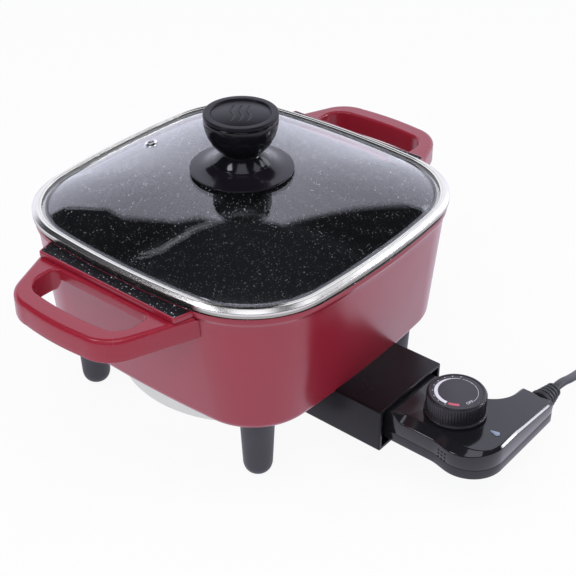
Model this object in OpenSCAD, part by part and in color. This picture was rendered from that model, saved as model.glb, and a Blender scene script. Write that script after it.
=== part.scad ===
// Electric skillet: a square cast pan on four posts, with a lift-off glass lid and a plug-in heat control.
// Millimetres. Z is up and the origin lies on the table under the middle of the pan.
// X runs along the two handles, and the heat control plugs in on the -Y side.

/* [Pan] */
// Width across the lip, taken as if the sides were straight
pan_w = 221; // [212:1:240]
// Height from the underside to the rim
pan_h = 87.2; // [78:0.2:105]
// Height of the underside above the table
pan_lift = 46.8; // [44:0.2:56]
// How far each side draws in from the rim down to the floor
pan_taper = 10.2; // [7:0.2:12]
// Corner radius at the rim
rim_corner = 62; // [54:1:70]
// Corner radius at the floor
floor_corner = 43; // [38:1:52]
// How far each side bows out at its middle
side_bow = 2.2; // [0.4:0.2:4]
// Thickness of the side walls
pan_wall = 4; // [3.4:0.2:5]
// Thickness of the floor
pan_floor = 5; // [4.6:0.2:7]
// Radius of the edge between the sides and the underside
bottom_round = 6; // [4:0.5:8]
// Radius between the sides and the floor inside
well_round = 12; // [8:1:16]
// Height of the raised lip round the rim
lip_h = 5.6; // [4.8:0.2:7]
// How far the lip stands out from the wall
lip_out = 0.9; // [0.6:0.1:1.4]

/* [Ledges] */
// How far each handle ledge reaches past the lip
ledge_out = 11.5; // [10.5:0.5:14]
// Length of a ledge along its outer edge
ledge_l = 111; // [106:1:118]
// How much longer a ledge is at each end where it meets the wall
ledge_flare = 3; // [1:0.5:5]
// Thickness of a ledge
ledge_t = 4.4; // [4.2:0.2:5.2]

/* [Handles] */
// How far a handle reaches past the pan's lip
handle_out = 52.5; // [48:0.5:60]
// Height of a handle's skirt
handle_h = 15; // [14:0.5:19]
// Length of a handle where it meets the pan
handle_root = 122; // [118:1:124]
// How far the grip bows out at its middle
grip_bow = 1.5; // [0.5:0.1:2.5]
// Radius of the grip's outer corners
grip_corner = 24; // [20:1:28]
// Length of the grip between its corners
grip_l = 47; // [40:1:52]
// Width of the grip bar
grip_w = 13; // [11:0.5:15]
// Width of the bar between the pan and the finger gap
root_w = 13.5; // [12.5:0.5:16]
// Height of that bar
root_h = 7.2; // [6:0.2:9]
// Length of the finger gap
gap_l = 77.6; // [70:0.2:80]
// Rounding of a handle's top edge
handle_round = 3; // [2:0.5:4]
// Distance between the two screws of a handle
handle_screw_span = 96; // [92:1:100]

/* [Feet] */
// How far a foot's axis lies inside the edge of the flat underside
foot_inset = 21; // [17:0.5:26]
// Radius of a foot at the pan
foot_r_top = 11.2; // [10:0.2:13]
// Radius of a foot just above its sole
foot_r_bottom = 9.2; // [8.4:0.2:10]
// Rounding of a foot's lower edge
foot_round = 3; // [2:0.5:3.5]
// Radius of the recess in a foot's sole
foot_recess_r = 4.2; // [3.8:0.1:4.6]
// Depth of that recess
foot_recess_h = 10; // [6:0.5:12]

/* [Base] */
// How far the round bottom cover lies inside the edge of the flat underside
cover_in = 9.4; // [8:0.2:11]
// Height of the bottom cover
cover_h = 26.3; // [25:0.1:30]
// Rounding of the bottom cover's lower edge
cover_round = 10; // [6:0.5:13]
// Thickness of the bottom cover's sheet
cover_t = 1.2; // [0.8:0.1:1.6]
// Space between the cast heat spreader and the bottom cover's wall
spreader_room = 4.8; // [3:0.2:8]
// Thickness of the heat spreader's disc
spreader_t = 5; // [4:0.2:6]
// How far the heating element's ring lies inside the spreader's edge
element_in = 20; // [16:0.5:24]
// Radius of the element's tube
element_tube_r = 4; // [3.4:0.1:4.4]
// Radius of a terminal pin
pin_r = 2.4; // [2:0.1:2.6]
// Distance between the two terminal pins
pin_span = 26; // [24:0.5:28]
// Depth of the pins' axes below the pan's underside
plug_drop = 10.8; // [10.4:0.2:12]

/* [Guard] */
// How far the guard reaches past the pan's lip
guard_out = 24.7; // [20:0.1:30]
// Wall of the guard
guard_wall = 2.5; // [2:0.1:3]
// Space between the guard and the control at the sides
guard_side_room = 5.2; // [4.6:0.1:6]
// Space between the guard and the control above and below
guard_room = 2.8; // [2.4:0.1:3.2]

/* [Lid] */
// How far the lid's rim lies inside the pan's lip
lid_in = 0.5; // [0.2:0.1:2]
// Corner radius of the rim
lid_corner = 58; // [52:1:64]
// How far the rim's sides bow out
lid_bow = 2.4; // [1:0.2:3.4]
// Height of the rim band
lid_rim_h = 5.2; // [4.8:0.1:6]
// Sheet of the rim band
lid_rim_t = 0.9; // [0.7:0.1:1]
// Thickness of the glass
glass_t = 3.2; // [2.8:0.1:3.2]
// Rise of the glass from the rim band to the crown
glass_rise = 17.4; // [12:0.2:20]
// Distance of the steam eyelet from the lid's edge
vent_in = 30; // [26:1:42]
// Radius of the eyelet's flange
vent_r = 4.5; // [3.8:0.1:5]

/* [Knob] */
// Radius of the shield under the knob
shield_r = 32.8; // [28:0.2:36]
// Height of the knob above the glass
knob_h = 38.5; // [36:0.5:46]
// Radius at the knob's top
knob_r = 23.3; // [21:0.1:26]
// Radius of the knob's waist
knob_waist_r = 12.8; // [11:0.1:14]
// Radius of the flared foot under the waist
knob_belly_r = 19; // [17:0.1:21]
// Radius of the cap in the knob's top
cap_r = 18.4; // [16:0.1:19]

/* [Control] */
// Width of the control where it enters the guard
control_w = 48.6; // [48:0.2:52]
// Height of the control
control_h = 20; // [19:0.2:22]
// How far the control reaches into the guard
nose_in = 23; // [20:0.5:25]
// How far the control stands out of the guard
control_out = 70.3; // [69:0.1:76]
// Reach of the cord arm from the control's middle
arm_reach = 55; // [53:0.5:60]
// Width of the cord arm
arm_w = 20; // [19:0.2:22]
// Radius of the control's rounded outer corner
control_corner = 32; // [29:0.5:34]
// Radius of the hollow between body and arm
arm_fillet = 22.5; // [18:0.5:24]
// Chamfer round the control's top
control_chamfer = 4.6; // [3:0.1:5]
// Wall of the control's shells
shell_wall = 2.2; // [1.8:0.1:2.6]
// Height of the bottom shell
shell_split = 7; // [6:0.2:8]
// Length of the sensing rod beyond the control
rod_l = 43; // [40:0.5:44]
// Radius of the sensing rod
rod_r = 3; // [2.6:0.1:3.2]

/* [Dial] */
// Radius of the dial's ribbed skirt
dial_r = 18.4; // [16:0.1:19]
// Height of the dial
dial_h = 13.1; // [11:0.1:16]
// Number of ribs round the skirt
dial_ribs = 64; // [40:2:80]
// Depth of the ribs
rib_depth = 0.5; // [0.3:0.1:0.8]
// Distance of the dial's axis from the guard
dial_y = 29.8; // [28:0.2:32]
// Sideways place of the dial's axis
dial_x = 4; // [2:0.5:5]
// Radius of the dial shaft
shaft_r = 3; // [2.6:0.1:3.4]

/* [Cord] */
// Width of the flat twin cord
cord_w = 6; // [5.4:0.1:6.2]
// Thickness of the flat twin cord
cord_t = 4.4; // [4:0.1:4.6]
// Number of turns in the coil
coil_turns = 3.5; // [2.5:1:3.5]
// Radius of the coil's outermost turn
coil_r = 38; // [36:1:40]
// Length of the strain relief outside the control
relief_l = 16; // [15:0.5:17]

/* [Clearances] */
// Gap between pieces of different bodies
body_gap = 0.3; // [0.2:0.05:0.4]
// Gap between pieces that are fixed to each other
seat_gap = 0.1; // [0.05:0.01:0.15]
// Radial gap of a pin or shaft in its bore
run_gap = 0.05; // [0.02:0.01:0.08]

/* [Hidden] */
$fn = 64;

// Levels and half widths that the pieces share
rim_z = pan_lift + pan_h;
lip_z = rim_z - lip_h;
rim_half = pan_w / 2 - lip_out;
floor_half = rim_half - pan_taper;
wall_z = pan_lift + bottom_round;
flat_half = floor_half - bottom_round;
cover_r = flat_half - cover_in;
spreader_r = cover_r - cover_t - spreader_room;
element_r = spreader_r - element_in;
lid_half = pan_w / 2 - lid_in;
foot_place = flat_half - foot_inset;
plug_z = pan_lift - plug_drop;
cover_z = pan_lift - seat_gap - cover_h;
guard_end = -pan_w / 2 - guard_out;
control_z = plug_z - control_h / 2;
control_top_z = plug_z + control_h / 2;
split_z = control_z + shell_split;
nose_y = guard_end + nose_in;
front_y = guard_end - control_out;
ledge_z = rim_z - ledge_t;
handle_top_z = ledge_z - seat_gap;
handle_z = handle_top_z - handle_h;
lid_z = rim_z + body_gap;
crown_z = lid_z + lid_rim_h + glass_rise;

// Counts of points along a side and round a corner of the pan's outline
side_n = 6;
corner_n = 11;

// Fasteners
screw_r = 2;
screw_head_r = 3.4;
screw_head_h = 2.4;
small_screw_r = 1.3;
small_head_r = 2.7;
small_head_h = 1.9;

// Bosses under the pan and the screws in the feet
boss_r = 5.5;
boss_h = 9;
boss_bore_h = 8;
foot_screw_l = 22;
foot_seat_z = pan_lift - boss_h - foot_screw_l + boss_bore_h - 1;
foot_bore_r = screw_head_r + body_gap;

// Screws of the ledges and of the guard
ledge_skin = 0.8;
ledge_bore_h = ledge_t - ledge_skin;
handle_head_in = 6.5;
handle_seat_z = handle_z + handle_head_in;
handle_screw_x = pan_w / 2 + ledge_out / 2 + 1;
guard_screw_x = control_w / 2 - small_head_r;
floor_skin = 1.4;
guard_screw_h = pan_floor - floor_skin;
guard_tongue = flat_half - 4;
guard_screw_y = -(guard_tongue + cover_r) / 2;

// Points of a square outline: half width a, corner radius r, sides bowed out by b
function side_x(a, r, b, y) =
    abs(y) <= a - r ? a + b * (1 - pow(y / (a - r), 2)) : a - r + sqrt(r * r - pow(abs(y) - a + r, 2));
function quarter(a, r, b) = concat(
    [for (i = [0:side_n - 1]) let (y = (a - r) * (2 * i / side_n - 1)) [side_x(a, r, b, y), y]],
    [for (i = [0:corner_n - 1]) let (t = 90 * i / corner_n) [a - r + r * cos(t), a - r + r * sin(t)]]);
function turn(p, q) = q == 0 ? p : turn([-p[1], p[0]], q - 1);
function ring(a, r, b, z) = [for (q = [0:3]) for (p = quarter(a, r, b)) concat(turn(p, q), z)];

// Outer wall of the pan at a height
function wall_share(z) = (z - wall_z) / (rim_z - wall_z);
function wall_half(z) = floor_half + pan_taper * wall_share(z);
function wall_corner(z) = floor_corner + (rim_corner - floor_corner) * wall_share(z);

// Solid through a list of rings with equally many points, from the first to the last
module loft(rings) {
    n = len(rings[0]);
    m = len(rings);
    points = [for (r = rings) each r];
    sides = [for (j = [0:m - 2]) for (i = [0:n - 1])
        let (a = j * n + i, b = j * n + (i + 1) % n, c = b + n, d = a + n) each [[a, d, c], [a, c, b]]];
    caps = [[for (i = [0:n - 1]) i], [for (i = [0:n - 1]) m * n - 1 - i]];
    polyhedron(points, concat(sides, caps));
}

// Solid through rings that close on themselves, as a frame does
module loop_loft(rings) {
    n = len(rings[0]);
    m = len(rings);
    points = [for (r = rings) each r];
    polyhedron(points, [for (j = [0:m - 1]) for (i = [0:n - 1])
        let (k = (j + 1) % m, a = j * n + i, b = j * n + (i + 1) % n, c = k * n + (i + 1) % n, d = k * n + i)
        each [[a, d, c], [a, c, b]]]);
}

// Slotted screw with its head's seat at z = 0 and its shank upwards
module screw(r, head_r, head_h, l) {
    difference() {
        union() {
            cylinder(r = r, h = l);
            translate([0, 0, -head_h]) cylinder(r = head_r, h = head_h);
        }
        translate([-head_r, -head_r / 6, -head_h - 1]) cube([2 * head_r, head_r / 3, 1 + head_h / 2]);
    }
}

// Cylinder along -Y from y = y0 to y = y1
module rod(r, y0, y1) {
    translate([0, y0, plug_z]) rotate([90, 0, 0]) cylinder(r = r, h = y0 - y1);
}

module at_feet() {
    for (x = [-1, 1], y = [-1, 1]) translate([x * foot_place, y * foot_place, 0]) children();
}

module at_both_sides() {
    for (q = [0, 180]) rotate([0, 0, q]) children();
}

module at_handle_screws() {
    at_both_sides() for (y = [-1, 1]) translate([handle_screw_x, y * handle_screw_span / 2, 0]) children();
}

module at_guard_screws() {
    for (x = [-1, 1]) translate([x * guard_screw_x, guard_screw_y, 0]) children();
}

// Pan: rings go up the outside, over the lip and down into the well
module pan_shell() {
    steps = 4;
    well_z = pan_lift + pan_floor + well_round;
    loft(concat(
        [for (k = [0:steps]) let (d = bottom_round * (1 - sin(90 * k / steps)))
            ring(floor_half - d, floor_corner - d, side_bow, wall_z - bottom_round * cos(90 * k / steps))],
        [ring(wall_half(lip_z), wall_corner(lip_z), side_bow, lip_z),
         ring(pan_w / 2, rim_corner + lip_out, side_bow, lip_z + lip_out / 2),
         ring(pan_w / 2, rim_corner + lip_out, side_bow, rim_z - lip_out),
         ring(rim_half, rim_corner, side_bow, rim_z),
         ring(rim_half - pan_wall, rim_corner - pan_wall, side_bow, rim_z)],
        [for (k = [0:steps]) let (d = pan_wall + well_round * (1 - cos(90 * k / steps)))
            ring(wall_half(well_z) - d, wall_corner(well_z) - d, side_bow,
                 well_z - well_round * sin(90 * k / steps))]));
}

module ledge() {
    half = ledge_l / 2;
    inner = [for (i = [-6:6]) let (y = (half + ledge_flare) * i / 6)
        [side_x(rim_half, rim_corner, side_bow, y) - pan_wall / 2, y]];
    outer_x = pan_w / 2 + ledge_out;
    root_x = side_x(pan_w / 2, rim_corner, side_bow, half + ledge_flare);
    translate([0, 0, ledge_z]) linear_extrude(ledge_t) polygon(concat(inner,
        [[root_x, half + ledge_flare], [outer_x, half], [outer_x, -half], [root_x, -half - ledge_flare]]));
}

module pan() {
    color("firebrick") difference() {
        union() {
            pan_shell();
            at_both_sides() ledge();
            at_feet() translate([0, 0, pan_lift - boss_h]) cylinder(r = boss_r, h = boss_h + 1);
        }
        at_feet() translate([0, 0, pan_lift - boss_h - 1])
            cylinder(r = screw_r + run_gap, h = boss_bore_h + 1);
        at_handle_screws() translate([0, 0, ledge_z - 1])
            cylinder(r = screw_r + run_gap, h = ledge_bore_h + 1);
        at_guard_screws() translate([0, 0, pan_lift - 1])
            cylinder(r = small_screw_r + run_gap, h = guard_screw_h + 1);
    }
}

// Handle: half of its outline and half of its finger gap, from the root to the grip, e inside the full size
handle_x = pan_w / 2 + handle_out;
function root_x(y, z) = body_gap + (z > lip_z - 0.5
    ? side_x(pan_w / 2, rim_corner + lip_out, side_bow, y)
    : side_x(wall_half(z), wall_corner(z), side_bow, y));
function between(p, q, t) = p + (q - p) * t;
function handle_half(z, e) =
    let (r = grip_corner - e, c = [handle_x - grip_bow - grip_corner, grip_l / 2],
         end_y = handle_root / 2 - e, a = [root_x(end_y, z), end_y], d = a - c,
         t = atan2(d[1], d[0]) - acos(r / norm(d)), tip = c + r * [cos(t), sin(t)])
    concat([for (i = [0:6]) let (y = end_y * i / 6) [root_x(y, z), y, z]],
        [for (i = [1:2]) concat(between(a, tip, i / 3), z)],
        [for (i = [0:6]) let (s = t * (1 - i / 6)) [c[0] + r * cos(s), c[1] + r * sin(s), z]],
        [for (i = [2:-1:0]) let (y = c[1] * i / 3) [c[0] + r + grip_bow * (1 - pow(i / 3, 2)), y, z]]);
gap_x = pan_w / 2 + root_w;
gap_inner_r = 5;
gap_outer_r = 14;
function gap_half(z, e) =
    let (x0 = gap_x + e, x1 = handle_x - grip_bow - grip_w - e, y1 = gap_l / 2 - e, r0 = gap_inner_r - e,
         r1 = gap_outer_r - e, c = [x1 - r1, y1 - r1])
    concat([for (i = [0:6]) [x0, (y1 - r0) * i / 6, z]],
        [for (t = [150, 120]) [x0 + r0 + r0 * cos(t), y1 - r0 + r0 * sin(t), z]],
        [for (i = [0:6]) let (s = 90 * (1 - i / 6)) [c[0] + r1 * cos(s), c[1] + r1 * sin(s), z]],
        [for (i = [2:-1:0]) [x1 + grip_bow * (1 - pow(i / 3, 2)), c[1] * i / 3, z]]);
function whole(half) = concat([for (p = half) [p[0], -p[1], p[2]]],
    [for (i = [len(half) - 2:-1:1]) half[i]]);

module handle() {
    e = handle_round;
    color("firebrick") difference() {
        loop_loft([
            whole(handle_half(handle_z, e / 3)),
            whole(handle_half(handle_z + e / 3, 0)),
            whole(handle_half(handle_top_z - e, 0)),
            whole(handle_half(handle_top_z - e * 0.3, e * 0.3)),
            whole(handle_half(handle_top_z, e)),
            whole(gap_half(handle_top_z, -e / 3)),
            whole(gap_half(handle_top_z - e / 3, 0)),
            whole(gap_half(handle_z, 0))]);
        translate([0, gap_inner_r - gap_l / 2, handle_z - 1])
            cube([gap_x + 1, gap_l - 2 * gap_inner_r, handle_h - root_h + 1]);
        for (y = [-1, 1]) translate([handle_screw_x, y * handle_screw_span / 2, 0]) {
            translate([0, 0, handle_z - 1]) cylinder(r = screw_r + seat_gap, h = handle_h + 2);
            translate([0, 0, handle_z - 1]) cylinder(r = foot_bore_r, h = handle_seat_z - handle_z + 1);
        }
    }
}

module left_handle() rotate([0, 0, 180]) handle();

module right_handle() handle();

module handle_screws() {
    color("silver") at_handle_screws() translate([0, 0, handle_seat_z])
        screw(screw_r, screw_head_r, screw_head_h, ledge_z + ledge_bore_h - handle_seat_z - 0.3);
}

// Foot: tapered post with a stepped bore for its screw and a socket for the pan's boss
module foot(x, y) {
    top_z = pan_lift - seat_gap;
    socket_r = boss_r + seat_gap;
    color("#202022") translate([x * foot_place, y * foot_place, 0]) difference() {
        union() {
            translate([0, 0, foot_round])
                cylinder(r1 = foot_r_bottom, r2 = foot_r_top, h = top_z - foot_round);
            cylinder(r1 = foot_r_bottom - foot_round * 0.55, r2 = foot_r_bottom, h = foot_round);
        }
        translate([0, 0, -1]) cylinder(r = foot_recess_r, h = foot_recess_h + 1);
        translate([0, 0, -1]) cylinder(r = foot_bore_r, h = foot_seat_z + 1);
        translate([0, 0, -1]) cylinder(r = screw_r + seat_gap, h = pan_lift + 2);
        translate([0, 0, pan_lift - boss_h - seat_gap]) cylinder(r = socket_r, h = boss_h + 1);
    }
}

module front_left_foot() foot(-1, -1);

module front_right_foot() foot(1, -1);

module back_left_foot() foot(-1, 1);

module back_right_foot() foot(1, 1);

module foot_screws() {
    color("silver") at_feet() translate([0, 0, foot_seat_z])
        screw(screw_r, screw_head_r, screw_head_h, foot_screw_l);
}

// Heating: element ring with two ends that run out to the pins
lead_y = -(cover_r - 4);
element_gap = asin(pin_span / 2 / element_r);
module element_form(r) {
    translate([0, 0, plug_z]) rotate([0, 0, 270 + element_gap]) rotate_extrude(angle = 360 - 2 * element_gap)
        translate([element_r, 0]) circle(r);
    for (x = [-1, 1]) translate([x * pin_span / 2, 0, 0]) {
        rod(r, -element_r * cos(element_gap), lead_y);
        translate([0, -element_r * cos(element_gap), plug_z]) sphere(r * 1.08);
    }
}

module heating_element() {
    color("dimgray") element_form(element_tube_r);
}

rib_half = element_tube_r + 3;
rib_z = plug_z - element_tube_r - 1.2;
well_r = rod_r + 2.5;
well_end = -(cover_r + 2);
cover_boss_r = 5;
cover_screw_l = 8;
module at_cover_screws() {
    for (a = [90, 210, 330]) rotate([0, 0, a]) translate([element_r, 0, 0]) children();
}

module heat_spreader() {
    disc_z = pan_lift - spreader_t;
    color("gainsboro") difference() {
        union() {
            translate([0, 0, disc_z]) cylinder(r = spreader_r, h = spreader_t);
            translate([0, 0, rib_z]) cylinder(r = element_r + rib_half, h = disc_z - rib_z + 1);
            at_cover_screws() translate([0, 0, cover_z + cover_t + seat_gap])
                cylinder(r = cover_boss_r, h = rib_z - cover_z);
            rod(well_r, -element_r - rib_half + 3, well_end);
        }
        translate([0, 0, rib_z - 1]) cylinder(r = element_r - rib_half, h = disc_z - rib_z + 1);
        element_form(element_tube_r + seat_gap);
        at_cover_screws() translate([0, 0, cover_z]) cylinder(r = screw_r + run_gap, h = cover_screw_l + 2);
        rod(rod_r + body_gap, nose_y + rod_l + 2, well_end - 1);
    }
}

pin_tip = nose_y - 16;
pin_room = 0.8;
bead_l = 5;
module terminal_pins() {
    color("silver") for (x = [-1, 1]) translate([x * pin_span / 2, 0, 0]) rod(pin_r, lead_y, pin_tip);
}

module pin_insulators() {
    color("ivory") for (x = [-1, 1]) translate([x * pin_span / 2, 0, 0]) difference() {
        rod(element_tube_r, lead_y, lead_y - bead_l);
        rod(pin_r + run_gap, lead_y + 1, lead_y - bead_l - 1);
    }
}

// Bottom cover: pressed dish with a notch where the element's ends come out
notch_w = pin_span + 2 * element_tube_r + 4;
module dish_form(r, h, round_r, z) {
    translate([0, 0, z]) rotate_extrude() union() {
        square([r - round_r, h]);
        translate([0, round_r]) square([r, h - round_r]);
        translate([r - round_r, round_r]) circle(round_r);
    }
}

module bottom_cover() {
    color("lightgray") difference() {
        dish_form(cover_r, cover_h, cover_round, cover_z);
        dish_form(cover_r - cover_t, cover_h + 1, cover_round - cover_t, cover_z + cover_t);
        translate([-notch_w / 2, -cover_r - 1, plug_z - well_r - 1]) cube([notch_w, cover_r / 2, cover_h]);
        at_cover_screws() translate([0, 0, cover_z - 1]) cylinder(r = screw_r + seat_gap, h = cover_t + 2);
    }
}

module cover_screws() {
    color("silver") at_cover_screws() translate([0, 0, cover_z])
        screw(screw_r, screw_head_r, screw_head_h, cover_screw_l);
}

// Guard: box round the pins, with a tongue that is screwed to the pan's floor
guard_top_z = control_top_z + guard_room + guard_wall;
guard_z = control_z - guard_room - guard_wall;
guard_half = control_w / 2 + guard_side_room + guard_wall;
module guard() {
    edge_y = -(flat_half + side_bow);
    edge_r = bottom_round + body_gap;
    wall_y = -(wall_half(max(guard_top_z, wall_z)) + side_bow + body_gap);
    under_z = pan_lift - body_gap;
    back_y = -cover_r / 2;
    step = guard_wall + 1;
    edge = [for (t = [90:-15:0]) [edge_y - edge_r * sin(t), wall_z - edge_r * cos(t)]];
    outer = concat([[guard_end, guard_z], [guard_end, guard_top_z], [wall_y, guard_top_z]],
        [for (p = edge) if (p[1] < guard_top_z - seat_gap) p], [[back_y, under_z], [back_y, guard_z]]);
    inner = [[guard_end - 1, guard_z + guard_wall], [guard_end - 1, guard_top_z - guard_wall],
             [wall_y - step, guard_top_z - guard_wall], [edge_y - step, under_z - guard_wall],
             [back_y + 1, under_z - guard_wall], [back_y + 1, guard_z + guard_wall]];
    color("#1c1c1e") difference() {
        side_slab(outer, 2 * guard_half);
        side_slab(inner, 2 * (guard_half - guard_wall));
        translate([0, 0, guard_z - 1]) cylinder(r = cover_r + body_gap, h = guard_top_z - guard_z + 2);
        at_guard_screws() translate([0, 0, guard_z + 2 * guard_wall])
            cylinder(r = small_screw_r + seat_gap, h = control_h * 2);
    }
}

// Prism across X with an outline given as [y, z] points
module side_slab(outline, w) {
    translate([w / 2, 0, 0]) rotate([90, 0, -90]) linear_extrude(w)
        polygon([for (p = outline) [-p[0], p[1]]]);
}

module guard_screws() {
    color("silver") at_guard_screws() translate([0, 0, pan_lift - body_gap - guard_wall])
        screw(small_screw_r, small_head_r, small_head_h, guard_wall + guard_screw_h);
}

// Lid: the glass and its rim are scaled copies of one outline
function lid_ring(a, z) = ring(a, lid_corner * a / lid_half, lid_bow * a / lid_half, z);
glass_z = lid_z + lid_rim_t + seat_gap;
glass_edge = lid_half - lid_rim_t - seat_gap;
rim_lip = 5.5;
bend_in = 11;
bend_rise = 1.6;
dome_rise = glass_rise - bend_rise;
pad_half = 17;
crown_rise = crown_z - glass_z - glass_t;
// Height of the glass's top over its edge, at a distance from the middle
function crown(a) =
    a >= lid_half - rim_lip ? 0 :
    a >= lid_half - bend_in ? (crown_rise - dome_rise) * (lid_half - rim_lip - a) / (bend_in - rim_lip) :
    crown_rise - dome_rise * pow(max(0, a - pad_half) / (lid_half - bend_in - pad_half), 2);
function glass_top(a) = glass_z + glass_t + crown(a);
// Distance from the middle at which the outline's side, with its bow, passes a point on the axis
function lid_reach(y) = y / (1 + lid_bow / lid_half);
vent_y = lid_half - vent_in;
vent_a = lid_reach(vent_y);
vent_tilt = atan((glass_top(vent_a - 1) - glass_top(vent_a + 1)) / 2);
module at_vent() {
    translate([0, vent_y, glass_top(vent_a)]) rotate([-vent_tilt, 0, 0]) children();
}

vent_neck_r = vent_r - 1.2;
knob_bore_r = 4.2;
module lid_glass() {
    stations = [glass_edge, lid_half - rim_lip, lid_half - bend_in, vent_a, lid_half * 0.56,
                lid_half * 0.36, pad_half];
    color("#9fb4bd80") difference() {
        loft(concat([for (i = [6:-1:0]) lid_ring(stations[i], glass_top(stations[i]) - glass_t)],
                    [for (a = stations) lid_ring(a, glass_top(a))]));
        translate([0, 0, glass_z]) cylinder(r = knob_bore_r, h = glass_rise + 2 * lid_rim_h);
        at_vent() translate([0, 0, -2 * glass_t]) cylinder(r = vent_neck_r + seat_gap, h = 4 * glass_t);
    }
}

rim_skirt = 4;
skirt_room = 1.6;
module lid_rim() {
    top_z = glass_z + glass_t + seat_gap + lid_rim_t;
    lip_half = lid_half - rim_lip;
    skirt_half = rim_half - pan_wall - skirt_room;
    color("silver") loop_loft([
        lid_ring(lid_half - 0.5, lid_z),
        lid_ring(lid_half, lid_z + 0.6),
        lid_ring(lid_half, top_z - 0.8),
        lid_ring(lid_half - 0.8, top_z),
        lid_ring(lip_half + 0.2, top_z),
        lid_ring(lip_half, top_z - lid_rim_t),
        lid_ring(lid_half - lid_rim_t, top_z - lid_rim_t),
        lid_ring(lid_half - lid_rim_t, lid_z + lid_rim_t),
        lid_ring(skirt_half - lid_rim_t, lid_z + lid_rim_t),
        lid_ring(skirt_half - lid_rim_t, lid_z - rim_skirt),
        lid_ring(skirt_half, lid_z - rim_skirt),
        lid_ring(skirt_half, lid_z)]);
}

module steam_eyelet() {
    color("silver") at_vent() difference() {
        union() {
            translate([0, 0, seat_gap]) cylinder(r1 = vent_r, r2 = vent_r - 0.5, h = 0.8);
            translate([0, 0, -glass_t - 1]) cylinder(r = vent_neck_r, h = glass_t + 1.2);
            translate([0, 0, -glass_t - 1]) cylinder(r = vent_r, h = 0.8);
        }
        translate([0, 0, -2 * glass_t]) cylinder(r = vent_neck_r - 1, h = 4 * glass_t);
    }
}

// Knob: turned pieces on one screw from under the glass
knob_z = crown_z + seat_gap;
shield_t = 2;
knob_foot_z = knob_z + shield_t + 1.4;
knob_top_z = knob_z + knob_h;
ring_h = 4;
cap_drop = 0.8;
insert_r = 4;
insert_l = 18;
hub_over = 0.4;
module knob_shield() {
    hub_r = knob_belly_r + hub_over;
    color("#161618") rotate_extrude() difference() {
        polygon([[knob_bore_r, knob_z], [12, knob_z], [shield_r, knob_z + 0.4], [shield_r, knob_z + 1.6],
                 [hub_r, knob_z + shield_t + 1.3], [knob_bore_r, knob_z + shield_t + 1.3]]);
        translate([0, knob_z - 1]) square([screw_r + seat_gap, shield_t + 4]);
    }
}

module knob_body() {
    h = knob_top_z - knob_foot_z;
    seat_z = knob_top_z - ring_h;
    color("#161618") rotate_extrude() difference() {
        polygon([[0, knob_foot_z], [knob_belly_r, knob_foot_z], [knob_belly_r * 0.97, knob_foot_z + h * 0.06],
                 [knob_belly_r * 0.86, knob_foot_z + h * 0.14], [knob_waist_r, knob_foot_z + h * 0.24],
                 [knob_waist_r + 0.6, knob_foot_z + h * 0.28], [knob_r * 0.77, knob_foot_z + h * 0.42],
                 [knob_r * 0.88, knob_foot_z + h * 0.55], [knob_r * 0.96, knob_foot_z + h * 0.69],
                 [knob_r, knob_foot_z + h * 0.82], [knob_r - 0.6, seat_z], [0, seat_z]]);
        translate([0, knob_foot_z - 1]) square([insert_r + run_gap, insert_l + 1]);
    }
}

module knob_ring() {
    z = knob_top_z - ring_h + seat_gap;
    color("#2c2c2f") rotate_extrude() polygon([[cap_r + seat_gap, z], [knob_r - 0.6, z], [knob_r, z + 0.6],
        [knob_r, knob_top_z - 0.9], [knob_r - 0.9, knob_top_z], [cap_r + seat_gap, knob_top_z]]);
}

module knob_cap() {
    z = knob_top_z - ring_h + seat_gap;
    color("#1a1a1c") translate([0, 0, z]) cylinder(r = cap_r, h = ring_h - cap_drop - seat_gap);
}

module knob_insert() {
    color("goldenrod") translate([0, 0, knob_foot_z]) difference() {
        cylinder(r = insert_r, h = insert_l - seat_gap);
        translate([0, 0, -1]) cylinder(r = screw_r + run_gap, h = insert_l);
    }
}

washer_t = 2;
module knob_washer() {
    color("#303030") translate([0, 0, crown_z - glass_t - seat_gap - washer_t]) difference() {
        cylinder(r = 9, h = washer_t);
        translate([0, 0, -1]) cylinder(r = screw_r + seat_gap, h = washer_t + 2);
    }
}

module knob_screw() {
    seat_z = crown_z - glass_t - seat_gap - washer_t;
    color("silver") translate([0, 0, seat_z])
        screw(screw_r, screw_head_r + 1, screw_head_h, knob_foot_z + insert_l - 4 - seat_z);
}

// Control: outline as two rails, the left one round the outer corner and the right one round the arm's hollow
left_x = -control_w / 2;
bulge = 2.7;
rail_n = 9;
function left_rail(e) =
    let (r = control_corner - e, c = [left_x - bulge + control_corner, front_y + control_corner])
    concat([[left_x + e, nose_y - e], [left_x + e, c[1] + 8]],
        [for (i = [0:rail_n]) let (t = 184 + 86 * i / rail_n) c + r * [cos(t), sin(t)]],
        [[arm_reach - 3 - e, front_y + e], [arm_reach - e, front_y + 3]]);
function right_rail(e) =
    let (r = arm_fillet + e, arm_y = front_y + arm_w, c = [-left_x + arm_fillet, arm_y + arm_fillet])
    concat([[-left_x - e, nose_y - e], [-left_x - e, c[1] + 8]],
        [for (i = [0:rail_n]) let (t = 180 + 90 * i / rail_n) c + r * [cos(t), sin(t)]],
        [[arm_reach - 3 - e, arm_y - e], [arm_reach - e, arm_y - 3]]);

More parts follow.
